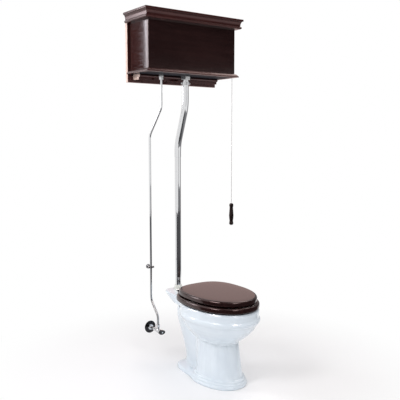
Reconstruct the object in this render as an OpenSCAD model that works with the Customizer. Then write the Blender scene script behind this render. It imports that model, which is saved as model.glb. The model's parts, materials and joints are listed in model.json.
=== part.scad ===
// High-level toilet: a wooden cistern on a wall board, a flush pipe, a pedestal bowl and a pull chain.
// Millimetres. The origin is the centre of the waste outlet at the floor.
// +Z is up, +X is to the right of someone facing the wall, and the wall is at Y = rough_in.

/* [Placing] */
// Distance from the wall to the centre of the waste outlet
rough_in = 305; // [290:1:330]
// Height of the crown's top above the floor
overall_h = 1980; // [1900:1:2200]

/* [Cistern case] */
// Outside width of the case
case_w = 576; // [540:1:640]
// Depth of the case from the wall board to its front face
case_d = 202; // [196:1:230]
// Thickness of the case's boards
board_t = 16; // [12:0.5:16]
// Height from the underside of the base to the crown's top
cistern_h = 325; // [318:1:380]
// Thickness of the base board
base_t = 18; // [14:0.5:22]
// How far the base moulding stands out from the case
base_lip = 18; // [10:0.5:20]
// How far the wall board reaches past each side of the case
wall_board_over = 12; // [4:1:40]
// Thickness of the wall board
wall_board_t = 20; // [16:0.5:22]
// How far the wall board hangs below the base
wall_board_drop = 43; // [38:1:80]
// Gap from the crown's top down to the top of the wall board
wall_board_top_gap = 30; // [10:1:50]
// How far each end of the ledge lies inside the case's side
ledge_short = 23; // [4:1:80]
// How far the ledge stands out from the wall board
ledge_d = 75; // [50:1:78]
// Height of the ledge
ledge_h = 30; // [24:1:34]
// Distance between the two fixing holes in the back
fixing_spacing = 320; // [240:1:350]
// Radius of the fixing holes
fixing_r = 3.5; // [2.5:0.1:5]

/* [Crown] */
// Height of the crown moulding
crown_h = 54; // [48:1:64]
// How far the crown stands out from the case
crown_lip = 36; // [30:0.5:42]
// Thickness of the cover panel
cover_t = 12; // [9:0.5:14]
// Depth of the cover panel's recess below the crown's top
cover_recess = 2; // [1:0.5:4]
// Gap between the crown and the case
crown_gap = 1; // [0.5:0.1:2]

/* [Liner] */
// Wall of the cistern liner
liner_t = 2.5; // [2:0.1:3.5]
// Gap from the liner's top up to the top of the case
liner_top_gap = 50.8; // [48:0.1:60]
// Gap between the liner and the boards
liner_gap = 0.5; // [0.3:0.1:1]

/* [Flush valve] */
// Distance of the flush valve from the wall
valve_out = 140; // [132:1:142]
// Outside radius of the valve's tail
tail_r = 19; // [18.5:0.1:19.5]
// Wall of the valve's tail
tail_t = 3; // [2:0.1:3.4]
// Length of the tail below the base
tail_l = 44; // [42:1:50]
// Radius of the valve's flange
flange_r = 34; // [32:0.5:37]
// Thickness of the valve's flange
flange_t = 5; // [4:0.5:7]
// Thickness of the valve's gasket
gasket_t = 3; // [2:0.5:4]
// Height of the seat above the flange
seat_rise = 12; // [10:0.5:16]
// Distance from the valve to the overflow tube
overflow_x = 48; // [44:1:54]
// Outside radius of the overflow tube
overflow_r = 11; // [9:0.5:12]
// Wall of the overflow tube
overflow_t = 1.2; // [0.8:0.1:2]
// Height of the overflow tube
overflow_h = 165; // [150:1:175]
// Radius of the stopper
stopper_r = 26; // [24.5:0.5:28]
// Height of the stopper
stopper_h = 28; // [24:1:30]
// Radius of the lift rod
rod_r = 2.2; // [1.5:0.1:3]
// Height of the stopper's guide above the valve's seat
guide_rise = 98; // [92:1:104]

/* [Nuts under the cistern] */
// Radius of the flush valve's locknut
locknut_r = 29; // [27:0.5:31]
// Height of the flush valve's locknut
locknut_h = 24; // [18:1:26]
// Radius of the slip nut on the flush pipe
slip_nut_r = 25; // [24:0.5:27]
// Height of the slip nut
slip_nut_h = 17; // [14:0.5:20]
// Reach of the slip nut's wings from its centre
wing_reach = 31; // [28:0.5:34]
// Radius of the nuts on the supply
supply_nut_r = 14; // [13:0.5:16]
// Height of the nut on the fill valve's shank
shank_nut_h = 13; // [10:0.5:15]
// Height of the supply's coupling nut
coupling_nut_h = 17; // [14:0.5:20]

/* [Flush pipe] */
// Outside radius of the upper flush pipe
upper_pipe_r = 19; // [18.5:0.1:19.5]
// Wall of the flush pipes
pipe_t = 1.4; // [1:0.1:1.4]
// Outside radius of the lower flush pipe
lower_pipe_r = 17.5; // [16.5:0.1:17.5]
// Distance of the lower flush pipe from the wall
lower_pipe_out = 60; // [50:1:66]
// Drop from the cistern's base to the flush pipe's upper bend
upper_bend_drop = 171; // [130:1:220]
// Drop from the cistern's base to the flush pipe's lower bend
lower_bend_drop = 387; // [330:1:450]
// Radius of the flush pipe's bends
flush_bend_r = 70; // [40:1:120]
// Length of the upper flush pipe below its lower bend
socket_l = 70; // [50:1:120]
// How far the lower flush pipe goes up into the upper one
telescope_l = 40; // [20:1:45]

/* [Supply] */
// Sideways distance of the supply from the middle
supply_x = 153; // [140:1:170]
// Distance of the fill valve from the wall
fill_out = 130; // [126:1:134]
// Outside radius of the supply tube
supply_r = 6.5; // [5:0.25:7]
// Wall of the supply tube
supply_t = 1; // [0.7:0.1:1.5]
// Distance of the supply tube's long run from the wall
supply_run_out = 34; // [28:1:40]
// Sideways distance of the supply tube's long run from the middle
supply_run_x = 172; // [160:1:185]
// Drop from the cistern's base to the supply tube's upper bend
supply_drop_1 = 182; // [140:1:230]
// Drop from the cistern's base to the bend at the top of the supply tube's long run
supply_drop_2 = 334; // [290:1:400]
// Height of the bend at the foot of the long run
supply_bend_3_z = 375; // [350:1:410]
// Height of the supply tube's last bend
supply_bend_4_z = 288; // [278:1:298]
// How far from each bend the supply tube's corner is cut
supply_bend_cut = 9; // [6:1:14]
// Height of the pipe clip above the floor
clip_z = 561; // [480:1:1000]
// Distance of the stop valve's outlet from the wall
stop_out = 90; // [84:1:100]
// Height of the stop valve above the floor
stop_z = 202; // [190:1:215]
// Radius of the stop valve's wall plate
plate_r = 36; // [28:0.5:40]
// Radius of the bore in the wall pipe
inlet_bore_r = 5.5; // [4:0.1:6]

/* [Fill valve] */
// Outside radius of the fill valve's riser
riser_r = 9; // [8:0.5:11]
// Height of the float arm's pivot above the cistern's base
float_pivot_rise = 195; // [185:1:205]
// Length of the float arm from its pivot to the ball's centre
float_arm_l = 233; // [225:1:240]
// Radius of the float ball
float_ball_r = 42; // [34:0.5:42]
// Distance of the float arm from the wall
float_out = 92; // [90:0.5:94]
// Radius of the float arm
float_arm_r = 3; // [2:0.25:3.5]
// Swing of the float arm from full to empty, in degrees
float_swing = 20; // [10:1:22]

/* [Lever] */
// Distance of the lever's pivot inside the case's side
pivot_inset = 88; // [78:1:98]
// Distance of the pull chain outside the case's side
chain_over = 48; // [44:1:57]
// Height of the lever's pivot above the cistern's base
pivot_rise = 210; // [206:1:216]
// Half of the lever's swing, in degrees
lever_half_swing = 7; // [4:0.5:8]
// Thickness of the lever
lever_t = 5; // [4:0.5:5]
// Height of the lever
lever_h = 12; // [10:0.5:13]
// Radius of the lever's pivot pin
lever_pin_r = 3; // [2:0.25:3.5]
// Radius of the eyes at the lever's ends
lever_eye_r = 3.6; // [3.4:0.1:4]
// Clearance round the lever in the case's slot
slot_gap = 3; // [2:0.5:5]

/* [Pull chain] */
// Radius of the pull chain
chain_r = 1.6; // [1.2:0.1:2]
// Length of the pull chain
chain_l = 944; // [700:1:1100]
// Length of the pull handle
handle_l = 132; // [100:1:150]
// Largest radius of the pull handle
handle_r = 14; // [9:0.5:16]

/* [Bowl] */
// Height of the rim above the floor
rim_z = 420; // [405:1:435]
// Width of the bowl at its bead
bowl_w = 380; // [372:1:390]
// Distance of the bowl's front edge from the wall
bowl_front = 712; // [704:1:722]
// Radius of the waste outlet
outlet_r = 40; // [36:0.5:44]
// Depth of the waste outlet's bore
outlet_l = 46; // [36:1:50]
// Radius of the trapway
trap_r = 25; // [22:0.5:27]
// Distance between the floor bolt holes
floor_bolt_spacing = 156; // [150:1:164]
// Radius of the floor bolt holes
floor_bolt_r = 6; // [5:0.5:7]
// Radius of the flush inlet in the deck
inlet_r = 22; // [20:0.5:23]
// Depth of the flush inlet
inlet_l = 40; // [34:1:42]

/* [Seat] */
// Width of the seat
seat_w = 372; // [360:1:380]
// Distance of the seat's rear edge from the wall
seat_back = 212; // [208:1:218]
// Distance of the seat's front edge from the wall
seat_front = 708; // [690:1:715]
// Thickness of the seat ring
seat_t = 27; // [20:0.5:28]
// Thickness of the lid
lid_t = 28; // [20:0.5:29]
// Height of the seat's bumpers
bumper_h = 8; // [7:0.5:10]
// Gap between the seat and the lid
lid_gap = 5; // [4.5:0.5:6]
// How far the lid's edge lies inside the seat's
lid_inset = 13; // [8:0.5:15]
// Width of the seat ring
ring_w = 66; // [55:1:75]
// Distance between the seat's hinge posts
hinge_spacing = 140; // [134:1:150]
// Distance of the hinge pins from the wall
hinge_out = 188; // [186:0.5:190]
// Height of the hinge pins above the rim
hinge_rise = 30; // [29:0.5:31]
// Radius of the hinge pins
hinge_pin_r = 4; // [3:0.25:4.5]
// Radius of the hinge posts
post_r = 9.5; // [9:0.25:11]
// Opening of the seat, in degrees
seat_open = 95; // [90:1:95]
// Opening of the lid, in degrees
lid_open = 97; // [90:1:97]

/* [Fits] */
// Running clearance round pins, on the radius
pin_gap = 0.06; // [0.03:0.01:0.1]
// Gap between a soft piece and what it lies against
soft_gap = 0.3; // [0.2:0.05:0.5]
// Clearance of a tube in a hole, on the radius
hole_gap = 1; // [0.5:0.1:2]

/* [Hidden] */

// Heights worked out from the sizes above
base_z = overall_h - cistern_h;
floor_in_z = base_z + base_t;
crown_z = overall_h - crown_h;
cover_z = overall_h - cover_recess - cover_t;
case_top_z = cover_z - 0.2;
case_front_out = wall_board_t + case_d;
liner_w = case_w - 2 * board_t - 2 * liner_gap;
liner_back_out = wall_board_t + board_t + liner_gap;
liner_front_out = case_front_out - board_t - liner_gap;
liner_floor_z = floor_in_z + liner_t;
liner_top_z = case_top_z - liner_top_gap;
fixing_z = (liner_top_z + case_top_z) / 2;
wall_board_w = case_w + 2 * wall_board_over;
ledge_w = case_w - 2 * ledge_short;
upper_bend_z = base_z - upper_bend_drop;
lower_bend_z = base_z - lower_bend_drop;
supply_bend_1_z = base_z - supply_drop_1;
supply_bend_2_z = base_z - supply_drop_2;
supply_turn = atan((supply_run_x - supply_x) / (fill_out - supply_run_out));
stop_x = supply_run_x - (stop_out - supply_run_out) * tan(supply_turn);
pivot_x = case_w / 2 - pivot_inset;
chain_x = case_w / 2 + chain_over;
flange_z = liner_floor_z + gasket_t;
valve_seat_z = flange_z + flange_t + seat_rise;
tail_bore_r = tail_r - tail_t;
tail_end_z = base_z - tail_l;
pivot_z = base_z + pivot_rise;
inner_arm = pivot_x / cos(lever_half_swing);
outer_arm = (chain_x - pivot_x) / cos(lever_half_swing);
inner_eye_z = pivot_z - inner_arm * sin(lever_half_swing);
outer_eye_z = pivot_z + outer_arm * sin(lever_half_swing);
float_pivot_z = base_z + float_pivot_rise;
seat_z = rim_z + bumper_h;
seat_top_z = seat_z + seat_t;
lid_z = seat_top_z + lid_gap;
hinge_z = rim_z + hinge_rise;
wood = [0.17, 0.08, 0.07];
china = [0.88, 0.92, 0.96];
plated = [0.78, 0.79, 0.8];
brassy = [0.75, 0.6, 0.3];
rubbery = [0.12, 0.12, 0.12];

// A place given by its distance out from the wall
function out(d) = rough_in - d;

// Puts children at a sideways place, a distance from the wall and a height
module at(x, d, z) {
  translate([x, out(d), z]) children();
}

// Puts a child drawn round Z along the way out from the wall
module outward() {
  rotate([90, 0, 0]) children();
}

// A board between two sideways places, two distances from the wall and two heights
module board(x0, x1, d0, d1, z0, z1) {
  translate([x0, out(d1), z0]) cube([x1 - x0, d1 - d0, z1 - z0]);
}

// A straight rod between two points of a flat route
module rod_2d(a, b, r) {
  v = b - a;
  translate([a.x, a.y, 0]) rotate([0, 0, atan2(v.y, v.x)]) rotate([0, 90, 0])
    cylinder(r = r, h = norm(v), $fn = 48);
}

function unit(v) = v / norm(v);
function turn(a, b, c) =
  let(u = unit(b - a), w = unit(c - b)) atan2(u.x * w.y - u.y * w.x, u.x * w.x + u.y * w.y);
function run_in(a, b, c, br) = br * tan(abs(turn(a, b, c)) / 2);

// A rod along a flat route of points, with an arc of one bend radius at each inner point
module route_2d(pts, r, br) {
  n = len(pts);
  for (i = [0:n - 2]) {
    u = unit(pts[i + 1] - pts[i]);
    from = i == 0 ? pts[0] : pts[i] + u * run_in(pts[i - 1], pts[i], pts[i + 1], br);
    to = i == n - 2 ? pts[n - 1] : pts[i + 1] - u * run_in(pts[i], pts[i + 1], pts[i + 2], br);
    rod_2d(from, to, r);
  }
  for (i = [1:n - 2]) {
    t = turn(pts[i - 1], pts[i], pts[i + 1]);
    u = unit(pts[i] - pts[i - 1]);
    side = t > 0 ? 1 : -1;
    start = pts[i] - u * run_in(pts[i - 1], pts[i], pts[i + 1], br);
    centre = start + side * br * [-u.y, u.x];
    a0 = atan2(start.y - centre.y, start.x - centre.x);
    translate([centre.x, centre.y, 0])
      rotate([0, 0, side > 0 ? a0 : a0 + t])
        rotate_extrude(angle = abs(t), $fn = 96)
          translate([br, 0]) circle(r = r, $fn = 48);
  }
}

// A tube along a flat route
module tube_2d(pts, r, wall, br) {
  difference() {
    route_2d(pts, r, br);
    route_2d(pts, r - wall, br);
  }
}

// The points of a flat route whose inner corners are arcs of one radius
function arc_points(a, b, c, br, steps) =
  let(
    u = unit(b - a), w = unit(c - b), t = abs(turn(a, b, c)),
    side = unit(w - u * (w * u)), start = b - u * run_in(a, b, c, br)
  )
  [for (j = [0:steps]) start + br * (sin(t * j / steps) * u + (1 - cos(t * j / steps)) * side)];
function rounded(pts, br, steps) = let(n = len(pts)) [for (i = [0:n - 1], q =
  i == 0 || i == n - 1 ? [pts[i]] : arc_points(pts[i - 1], pts[i], pts[i + 1], br, steps)) q];

// Stands a flat route up: its first axis runs out from the wall and its second one up
module stand_up(x) {
  translate([x, rough_in, 0]) rotate([0, 0, -90]) rotate([90, 0, 0]) children();
}

// One ring of a bent tube in the plane X = 0. Its line gives a distance out from Y = start_y and a height
// for each point, and the ring lies in the plane that halves the bend there.
function bent_ring(line, i, r, sides, start_y = rough_in) =
  let(
    n = len(line), p = line[i],
    u = i == 0 ? unit(line[1] - p) : unit(p - line[i - 1]),
    w = i == n - 1 ? u : unit(line[i + 1] - p),
    t = unit(u + w), long = r / (t * u)
  )
  [for (k = [0:sides - 1]) let(a = 360 * k / sides)
    [r * cos(a), start_y - p.x + long * sin(a) * t.y, p.y + long * sin(a) * t.x]];

// A ring round Z
module ring(r_out, r_in, h) {
  difference() {
    cylinder(r = r_out, h = h, $fn = 64);
    translate([0, 0, -1]) cylinder(r = r_in, h = h + 2, $fn = 64);
  }
}

// A hexagonal nut round Z with a round hole
module hex_nut(r_out, r_in, h) {
  difference() {
    cylinder(r = r_out, h = h, $fn = 6);
    translate([0, 0, -1]) cylinder(r = r_in, h = h + 2, $fn = 64);
  }
}

// Outline of the crown: a bead, a cove and a plain band, from its inner face outwards
function crown_outline() = concat(
  [[crown_gap, 0], [crown_lip - 14, 0]],
  [for (t = [-75:15:60]) [crown_lip - 14 + 7 * cos(t), 7 + 7 * sin(t)]],
  [for (t = [0:10:90]) [crown_lip - 3 - 10 * cos(t), 15 + (crown_h - 27) * sin(t)]],
  [[crown_lip, crown_h - 11], [crown_lip, crown_h - 3], [crown_lip - 3, crown_h], [crown_gap, crown_h]]
);

// Outline of the base moulding: a thin edge under a quarter round
function base_outline() = concat(
  [[0, 0], [base_lip - 1, 0], [base_lip, 1]],
  [for (t = [0:9:90]) [base_lip * cos(t), 5 + (base_t - 5) * sin(t)]]
);

// A moulding round the front and both sides of the case, mitred at its corners
module mitred_frame(z, back_gap) {
  hw = case_w / 2;
  yf = out(case_front_out);
  yb = out(wall_board_t) - back_gap;
  reach = crown_lip + 10;
  intersection() {
    translate([-hw - reach, yf, z])
      rotate([90, 0, 90]) linear_extrude(case_w + 2 * reach) mirror([1, 0]) children();
    translate([0, 0, z - 1]) linear_extrude(crown_h + 2)
      polygon([[-hw, yf], [hw, yf], [hw + reach, yf - reach], [-hw - reach, yf - reach]]);
  }
  for (side = [0, 1])
    mirror([side, 0, 0]) intersection() {
      translate([hw, yb, z]) rotate([90, 0, 0]) linear_extrude(yb - yf + reach) children();
      translate([0, 0, z - 1]) linear_extrude(crown_h + 2)
        polygon([[hw, yb], [hw, yf], [hw + reach, yf - reach], [hw + reach, yb]]);
    }
}

module crown_moulding() {
  color(wood) mitred_frame(crown_z, 0.5) polygon(crown_outline());
}

module cover_panel() {
  w = case_w / 2 + crown_gap;
  color(wood) board(-w, w, wall_board_t + 0.5, case_front_out + crown_gap, cover_z, cover_z + cover_t);
}

module base_moulding() {
  color(wood) mitred_frame(base_z, 0) polygon(base_outline());
}

module base_board() {
  color(wood) difference() {
    board(-case_w / 2, case_w / 2, wall_board_t, case_front_out, base_z, floor_in_z);
    at(0, valve_out, base_z - 1) cylinder(r = tail_r + hole_gap, h = base_t + 2, $fn = 64);
    at(-supply_x, fill_out, base_z - 1) cylinder(r = shank_r + hole_gap, h = base_t + 2, $fn = 64);
  }
}

module case_front() {
  color(wood) board(-case_w / 2, case_w / 2, case_front_out - board_t, case_front_out,
    floor_in_z, case_top_z);
}

module case_back() {
  color(wood) difference() {
    board(-case_w / 2, case_w / 2, wall_board_t, wall_board_t + board_t, floor_in_z, case_top_z);
    fixing_holes(case_front_out);
  }
}

module case_left() {
  color(wood) board(-case_w / 2, board_t - case_w / 2, wall_board_t + board_t, case_front_out - board_t,
    floor_in_z, case_top_z);
}

// Half height of the slot that the lever passes through
slot_half = (case_w / 2 - pivot_x) * sin(lever_half_swing) + lever_h / 2 + slot_gap;

module lever_slot(x0, x1, top) {
  half_t = lever_t / 2 + slot_gap;
  board(x0, x1, valve_out - half_t, valve_out + half_t, pivot_z - slot_half, top);
}

module case_right() {
  color(wood) difference() {
    board(case_w / 2 - board_t, case_w / 2, wall_board_t + board_t, case_front_out - board_t,
      floor_in_z, case_top_z);
    lever_slot(case_w / 2 - board_t - 1, case_w / 2 + 1, pivot_z + slot_half);
  }
}

// The two holes for the screws that hold the cistern on the wall
module fixing_holes(depth) {
  for (x = [-1, 1] * fixing_spacing / 2)
    at(x, -1, fixing_z) outward() cylinder(r = fixing_r, h = depth, $fn = 48);
}

module wall_board() {
  color(wood) difference() {
    board(-wall_board_w / 2, wall_board_w / 2, 0, wall_board_t, base_z - wall_board_drop,
      overall_h - wall_board_top_gap);
    fixing_holes(case_front_out);
  }
}

// The ledge under the case: a plain lower half and a pointed nose above it
module support_ledge() {
  nose = wall_board_t + ledge_d;
  color(wood) translate([ledge_w / 2, 0, base_z - ledge_h]) stand_up(0)
    linear_extrude(ledge_w) polygon([
      [wall_board_t, 0], [nose - 14, 0], [nose - 14, ledge_h * 0.4], [nose - 7, ledge_h * 0.47],
      [nose, ledge_h * 0.7], [nose - 7, ledge_h * 0.93], [nose - 7, ledge_h], [wall_board_t, ledge_h]
    ]);
}

module liner() {
  x = liner_w / 2;
  color([0.75, 0.75, 0.72]) difference() {
    board(-x, x, liner_back_out, liner_front_out, floor_in_z, liner_top_z);
    board(liner_t - x, x - liner_t, liner_back_out + liner_t, liner_front_out - liner_t,
      liner_floor_z, liner_top_z + 1);
    at(0, valve_out, floor_in_z - 1) cylinder(r = tail_r + hole_gap, h = liner_t + 2, $fn = 64);
    at(-supply_x, fill_out, floor_in_z - 1) cylinder(r = shank_r + hole_gap, h = liner_t + 2, $fn = 64);
    lever_slot(x - liner_t - 1, x + 1, liner_top_z + 1);
  }
}

// Flush valve: a flange on the gasket, a raised seat, a threaded tail and a socket for the overflow
boss_r = overflow_r + 3;
boss_h = 22;
seat_wall_r = tail_bore_r + 6;

module flush_valve_body() {
  color(brassy) difference() {
    union() {
      at(0, valve_out, tail_end_z) cylinder(r = tail_r, h = flange_z - tail_end_z + 1, $fn = 64);
      at(0, valve_out, flange_z) cylinder(r = flange_r, h = flange_t, $fn = 96);
      at(0, valve_out, flange_z) cylinder(r = seat_wall_r, h = valve_seat_z - flange_z, $fn = 64);
      at(-overflow_x, valve_out, flange_z) cylinder(r = boss_r, h = boss_h, $fn = 64);
      board(-overflow_x, -seat_wall_r + 2, valve_out - 9, valve_out + 9, flange_z, flange_z + 15);
    }
    at(0, valve_out, tail_end_z - 1) cylinder(r = tail_bore_r, h = valve_seat_z - tail_end_z + 2, $fn = 64);
    at(-overflow_x, valve_out, flange_z + 10) cylinder(r = overflow_r + 0.05, h = boss_h, $fn = 64);
    at(-overflow_x, valve_out, flange_z + 4) cylinder(r = overflow_r - 3, h = boss_h, $fn = 64);
    at(-overflow_x, valve_out, flange_z + 8) rotate([0, 90, 0]) cylinder(r = 3.5, h = overflow_x, $fn = 32);
  }
}

module flush_valve_gasket() {
  color(rubbery) at(0, valve_out, liner_floor_z) ring(flange_r - 1, tail_r, gasket_t);
}

module flush_locknut() {
  color(plated) at(0, valve_out, base_z - locknut_h) hex_nut(locknut_r, tail_r, locknut_h);
}

module overflow_tube() {
  color(brassy) at(-overflow_x, valve_out, flange_z + 10)
    ring(overflow_r, overflow_r - overflow_t, overflow_h);
}

// The guide is clamped on the overflow tube and holds the lift rod upright
guide_t = 6;
module stopper_guide() {
  z = valve_seat_z + guide_rise;
  color(brassy) difference() {
    union() {
      at(-overflow_x, valve_out, z) cylinder(r = overflow_r + 4, h = guide_t, $fn = 64);
      at(0, valve_out, z) cylinder(r = rod_r + 4, h = guide_t, $fn = 48);
      board(-overflow_x, 0, valve_out - 4, valve_out + 4, z, z + guide_t);
    }
    at(-overflow_x, valve_out, z - 1) cylinder(r = overflow_r, h = guide_t + 2, $fn = 64);
    at(0, valve_out, z - 1) cylinder(r = rod_r + soft_gap, h = guide_t + 2, $fn = 48);
  }
}

// The stopper lies just above its seat, and its rounded nose goes into the seat's bore
module stopper() {
  color(rubbery) at(0, valve_out, valve_seat_z + soft_gap) {
    cylinder(r = stopper_r - 4, h = stopper_h, $fn = 64);
    translate([0, 0, 4]) cylinder(r = stopper_r, h = stopper_h - 12, $fn = 64);
    translate([0, 0, -6]) cylinder(r1 = tail_bore_r - 6, r2 = tail_bore_r - 2, h = 7, $fn = 64);
  }
}

// The lift rod ends in a ring round the lever's inner eye
eye_slack = 1.3;
lift_ring_r = 6;
lift_wire_r = 1.4;
module lift_rod() {
  foot = valve_seat_z + soft_gap + stopper_h;
  ring_z = inner_eye_z - lever_eye_r + lift_wire_r + eye_slack - lift_ring_r;
  color(brassy) {
    at(0, valve_out, foot) cylinder(r = rod_r, h = ring_z - lift_ring_r - foot, $fn = 32);
    at(0, valve_out, ring_z) rotate([0, 90, 0]) rotate_extrude($fn = 48)
      translate([lift_ring_r, 0]) circle(r = lift_wire_r, $fn = 24);
  }
}

module slip_washer() {
  color(rubbery) at(0, valve_out, tail_end_z - gasket_t) ring(tail_r, tail_bore_r, gasket_t);
}

// The slip nut has two wings to turn it by hand
module slip_nut() {
  z = tail_end_z - slip_nut_h / 2;
  color(plated) at(0, valve_out, z) difference() {
    union() {
      cylinder(r = slip_nut_r, h = slip_nut_h, $fn = 64);
      translate([-wing_reach, -3, slip_nut_h * 0.25]) cube([2 * wing_reach, 6, slip_nut_h * 0.5]);
    }
    translate([0, 0, -1]) cylinder(r = tail_r, h = slip_nut_h + 2, $fn = 64);
  }
}

upper_end_z = lower_bend_z - socket_l;

flush_sides = 40;
module flush_pipe_upper() {
  top = [valve_out, tail_end_z - gasket_t];
  bends = [[valve_out, upper_bend_z], [lower_pipe_out, lower_bend_z]];
  foot = [lower_pipe_out, upper_end_z];
  skin = rounded(concat([top], bends, [foot]), flush_bend_r, 4);
  bore = rounded(concat([top + [0, 1]], bends, [foot - [0, 1]]), flush_bend_r, 4);
  color(plated) difference() {
    loft([for (i = [0:len(skin) - 1]) bent_ring(skin, i, upper_pipe_r, flush_sides)]);
    loft([for (i = [0:len(bore) - 1]) bent_ring(bore, i, upper_pipe_r - pipe_t, flush_sides)]);
  }
}

module flush_pipe_lower() {
  foot = rim_z - 12;
  color(plated) at(0, lower_pipe_out, foot)
    ring(lower_pipe_r, lower_pipe_r - pipe_t, upper_end_z + telescope_l - foot);
}

// The rubber cone that seals the flush pipe in the deck
cone_h = 24;
module inlet_cone() {
  color([0.86, 0.83, 0.74]) at(0, lower_pipe_out, 0) difference() {
    union() {
      translate([0, 0, rim_z - 20]) cylinder(r = inlet_r - soft_gap, h = 21, $fn = 64);
      translate([0, 0, rim_z]) cylinder(r = inlet_r + 4, h = 5, $fn = 64);
      translate([0, 0, rim_z + 5])
        cylinder(r1 = inlet_r + 2, r2 = lower_pipe_r + 3, h = cone_h - 5, $fn = 64);
    }
    translate([0, 0, rim_z - 21]) cylinder(r = lower_pipe_r, h = cone_h + 25, $fn = 64);
  }
}

// Supply: a coupling under the fill valve's shank, an offset tube and a stop valve on the wall
shank_r = 7;
supply_top_z = base_z - shank_nut_h - 4;
tube_foot_z = stop_z + 24;

module shank_nut() {
  color(plated) at(-supply_x, fill_out, base_z - shank_nut_h) hex_nut(supply_nut_r, shank_r, shank_nut_h);
}

module coupling_nut() {
  z = base_z - shank_nut_h - coupling_nut_h;
  color(plated) at(-supply_x, fill_out, z) difference() {
    cylinder(r = supply_nut_r - 1, h = coupling_nut_h, $fn = 6);
    translate([0, 0, -1]) cylinder(r = supply_r, h = coupling_nut_h + 2, $fn = 48);
    translate([0, 0, supply_top_z - z]) cylinder(r = shank_r, h = coupling_nut_h, $fn = 48);
  }
}

// A route with each inner corner cut, so that the bends look drawn and not folded
function eased(pts, cut) = let(n = len(pts)) [for (i = [0:n - 1], q =
  i == 0 || i == n - 1 ? [pts[i]]
  : let(u = unit(pts[i - 1] - pts[i]), w = unit(pts[i + 1] - pts[i]))
    [pts[i] + cut * u, pts[i] + cut * 0.25 * (u + w), pts[i] + cut * w]) q];

// The tube lies in one upright plane through its long run, turned so that it meets the fill valve
supply_sides = 24;
module supply_tube() {
  upper = (fill_out - supply_run_out) / cos(supply_turn);
  lower = (stop_out - supply_run_out) / cos(supply_turn);
  top = [upper, supply_top_z];
  foot = [lower, tube_foot_z];
  bends = [[upper, supply_bend_1_z], [0, supply_bend_2_z], [0, supply_bend_3_z], [lower, supply_bend_4_z]];
  skin = eased(concat([top], bends, [foot]), supply_bend_cut);
  bore = eased(concat([top + [0, 1]], bends, [foot - [0, 1]]), supply_bend_cut);
  color(plated) at(-supply_run_x, supply_run_out, 0) rotate([0, 0, supply_turn]) difference() {
    loft([for (i = [0:len(skin) - 1]) bent_ring(skin, i, supply_r, supply_sides, 0)]);
    loft([for (i = [0:len(bore) - 1]) bent_ring(bore, i, supply_r - supply_t, supply_sides, 0)]);
  }
}

module compression_nut() {
  color(plated) at(-stop_x, stop_out, tube_foot_z - 2) difference() {
    cylinder(r = supply_r + 4.5, h = 14, $fn = 6);
    translate([0, 0, -1]) cylinder(r = supply_r, h = 16, $fn = 48);
  }
}

// Stop valve: a short barrel out from the wall, an outlet upwards and a bonnet for the stem
stop_r = 10;
nipple_r = 8;
nipple_l = 58;
stem_r = 4;
bonnet_end = stop_out + 22;
module stop_valve() {
  color(plated) at(-stop_x, 0, stop_z) difference() {
    union() {
      translate([0, 10 - nipple_l, 0]) outward()
        cylinder(r = stop_r, h = bonnet_end - nipple_l + 6, $fn = 64);
      translate([0, -stop_out, 0]) sphere(r = stop_r + 2, $fn = 64);
      translate([0, -stop_out, 0]) cylinder(r = supply_r + 2, h = tube_foot_z - 2 - stop_z, $fn = 48);
      translate([0, 4 - bonnet_end, 0]) outward() cylinder(r = stop_r + 2, h = 8, $fn = 6);
    }
    translate([0, 12 - nipple_l, 0]) outward() cylinder(r = nipple_r, h = 14, $fn = 48);
    translate([0, 0, 0]) outward() cylinder(r = inlet_bore_r, h = stop_out, $fn = 48);
    translate([0, -stop_out, 0]) cylinder(r = inlet_bore_r - 1, h = 60, $fn = 48);
    translate([0, -stop_out, 0]) outward() cylinder(r = stem_r + pin_gap, h = 60, $fn = 48);
  }
}

// The wall pipe that brings the water: its bore is where the house's supply joins
module wall_nipple() {
  color(plated) at(-stop_x, 0, stop_z) difference() {
    outward() cylinder(r = nipple_r, h = nipple_l - 1, $fn = 64);
    translate([0, 1, 0]) outward() cylinder(r = inlet_bore_r, h = nipple_l + 2, $fn = 64);
  }
}

module wall_plate() {
  color(plated) at(-stop_x, 0, stop_z) outward() difference() {
    union() {
      cylinder(r = plate_r, h = 2, $fn = 96);
      translate([0, 0, 2]) cylinder(r1 = plate_r - 1, r2 = nipple_r + 6, h = 9, $fn = 96);
    }
    translate([0, 0, -1]) cylinder(r = nipple_r, h = 14, $fn = 64);
  }
}

// The stop valve's stem and its oval handle
handle_out = stop_out + 36;
module stop_handle() {
  color(plated) at(-stop_x, 0, stop_z) difference() {
    union() {
      translate([0, -stop_out - 8, 0]) outward()
        cylinder(r = stem_r, h = handle_out - stop_out - 8, $fn = 48);
      translate([0, 5 - handle_out, 0]) outward() cylinder(r = 7, h = 6, $fn = 48);
      translate([0, 0.5 - handle_out, 0]) outward()
        linear_extrude(9) scale([1, 0.64]) circle(r = 20, $fn = 64);
    }
    translate([0, -handle_out - 4, 0]) outward() cylinder(r = 2, h = 12, $fn = 32);
  }
}

module handle_screw() {
  color(plated) at(-stop_x, 0, stop_z) {
    translate([0, -handle_out - 4, 0]) outward() cylinder(r = 2, h = 4.5, $fn = 32);
    translate([0, -handle_out - 8.5, 0]) outward() cylinder(r = 4, h = 2.5, $fn = 48);
  }
}

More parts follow.
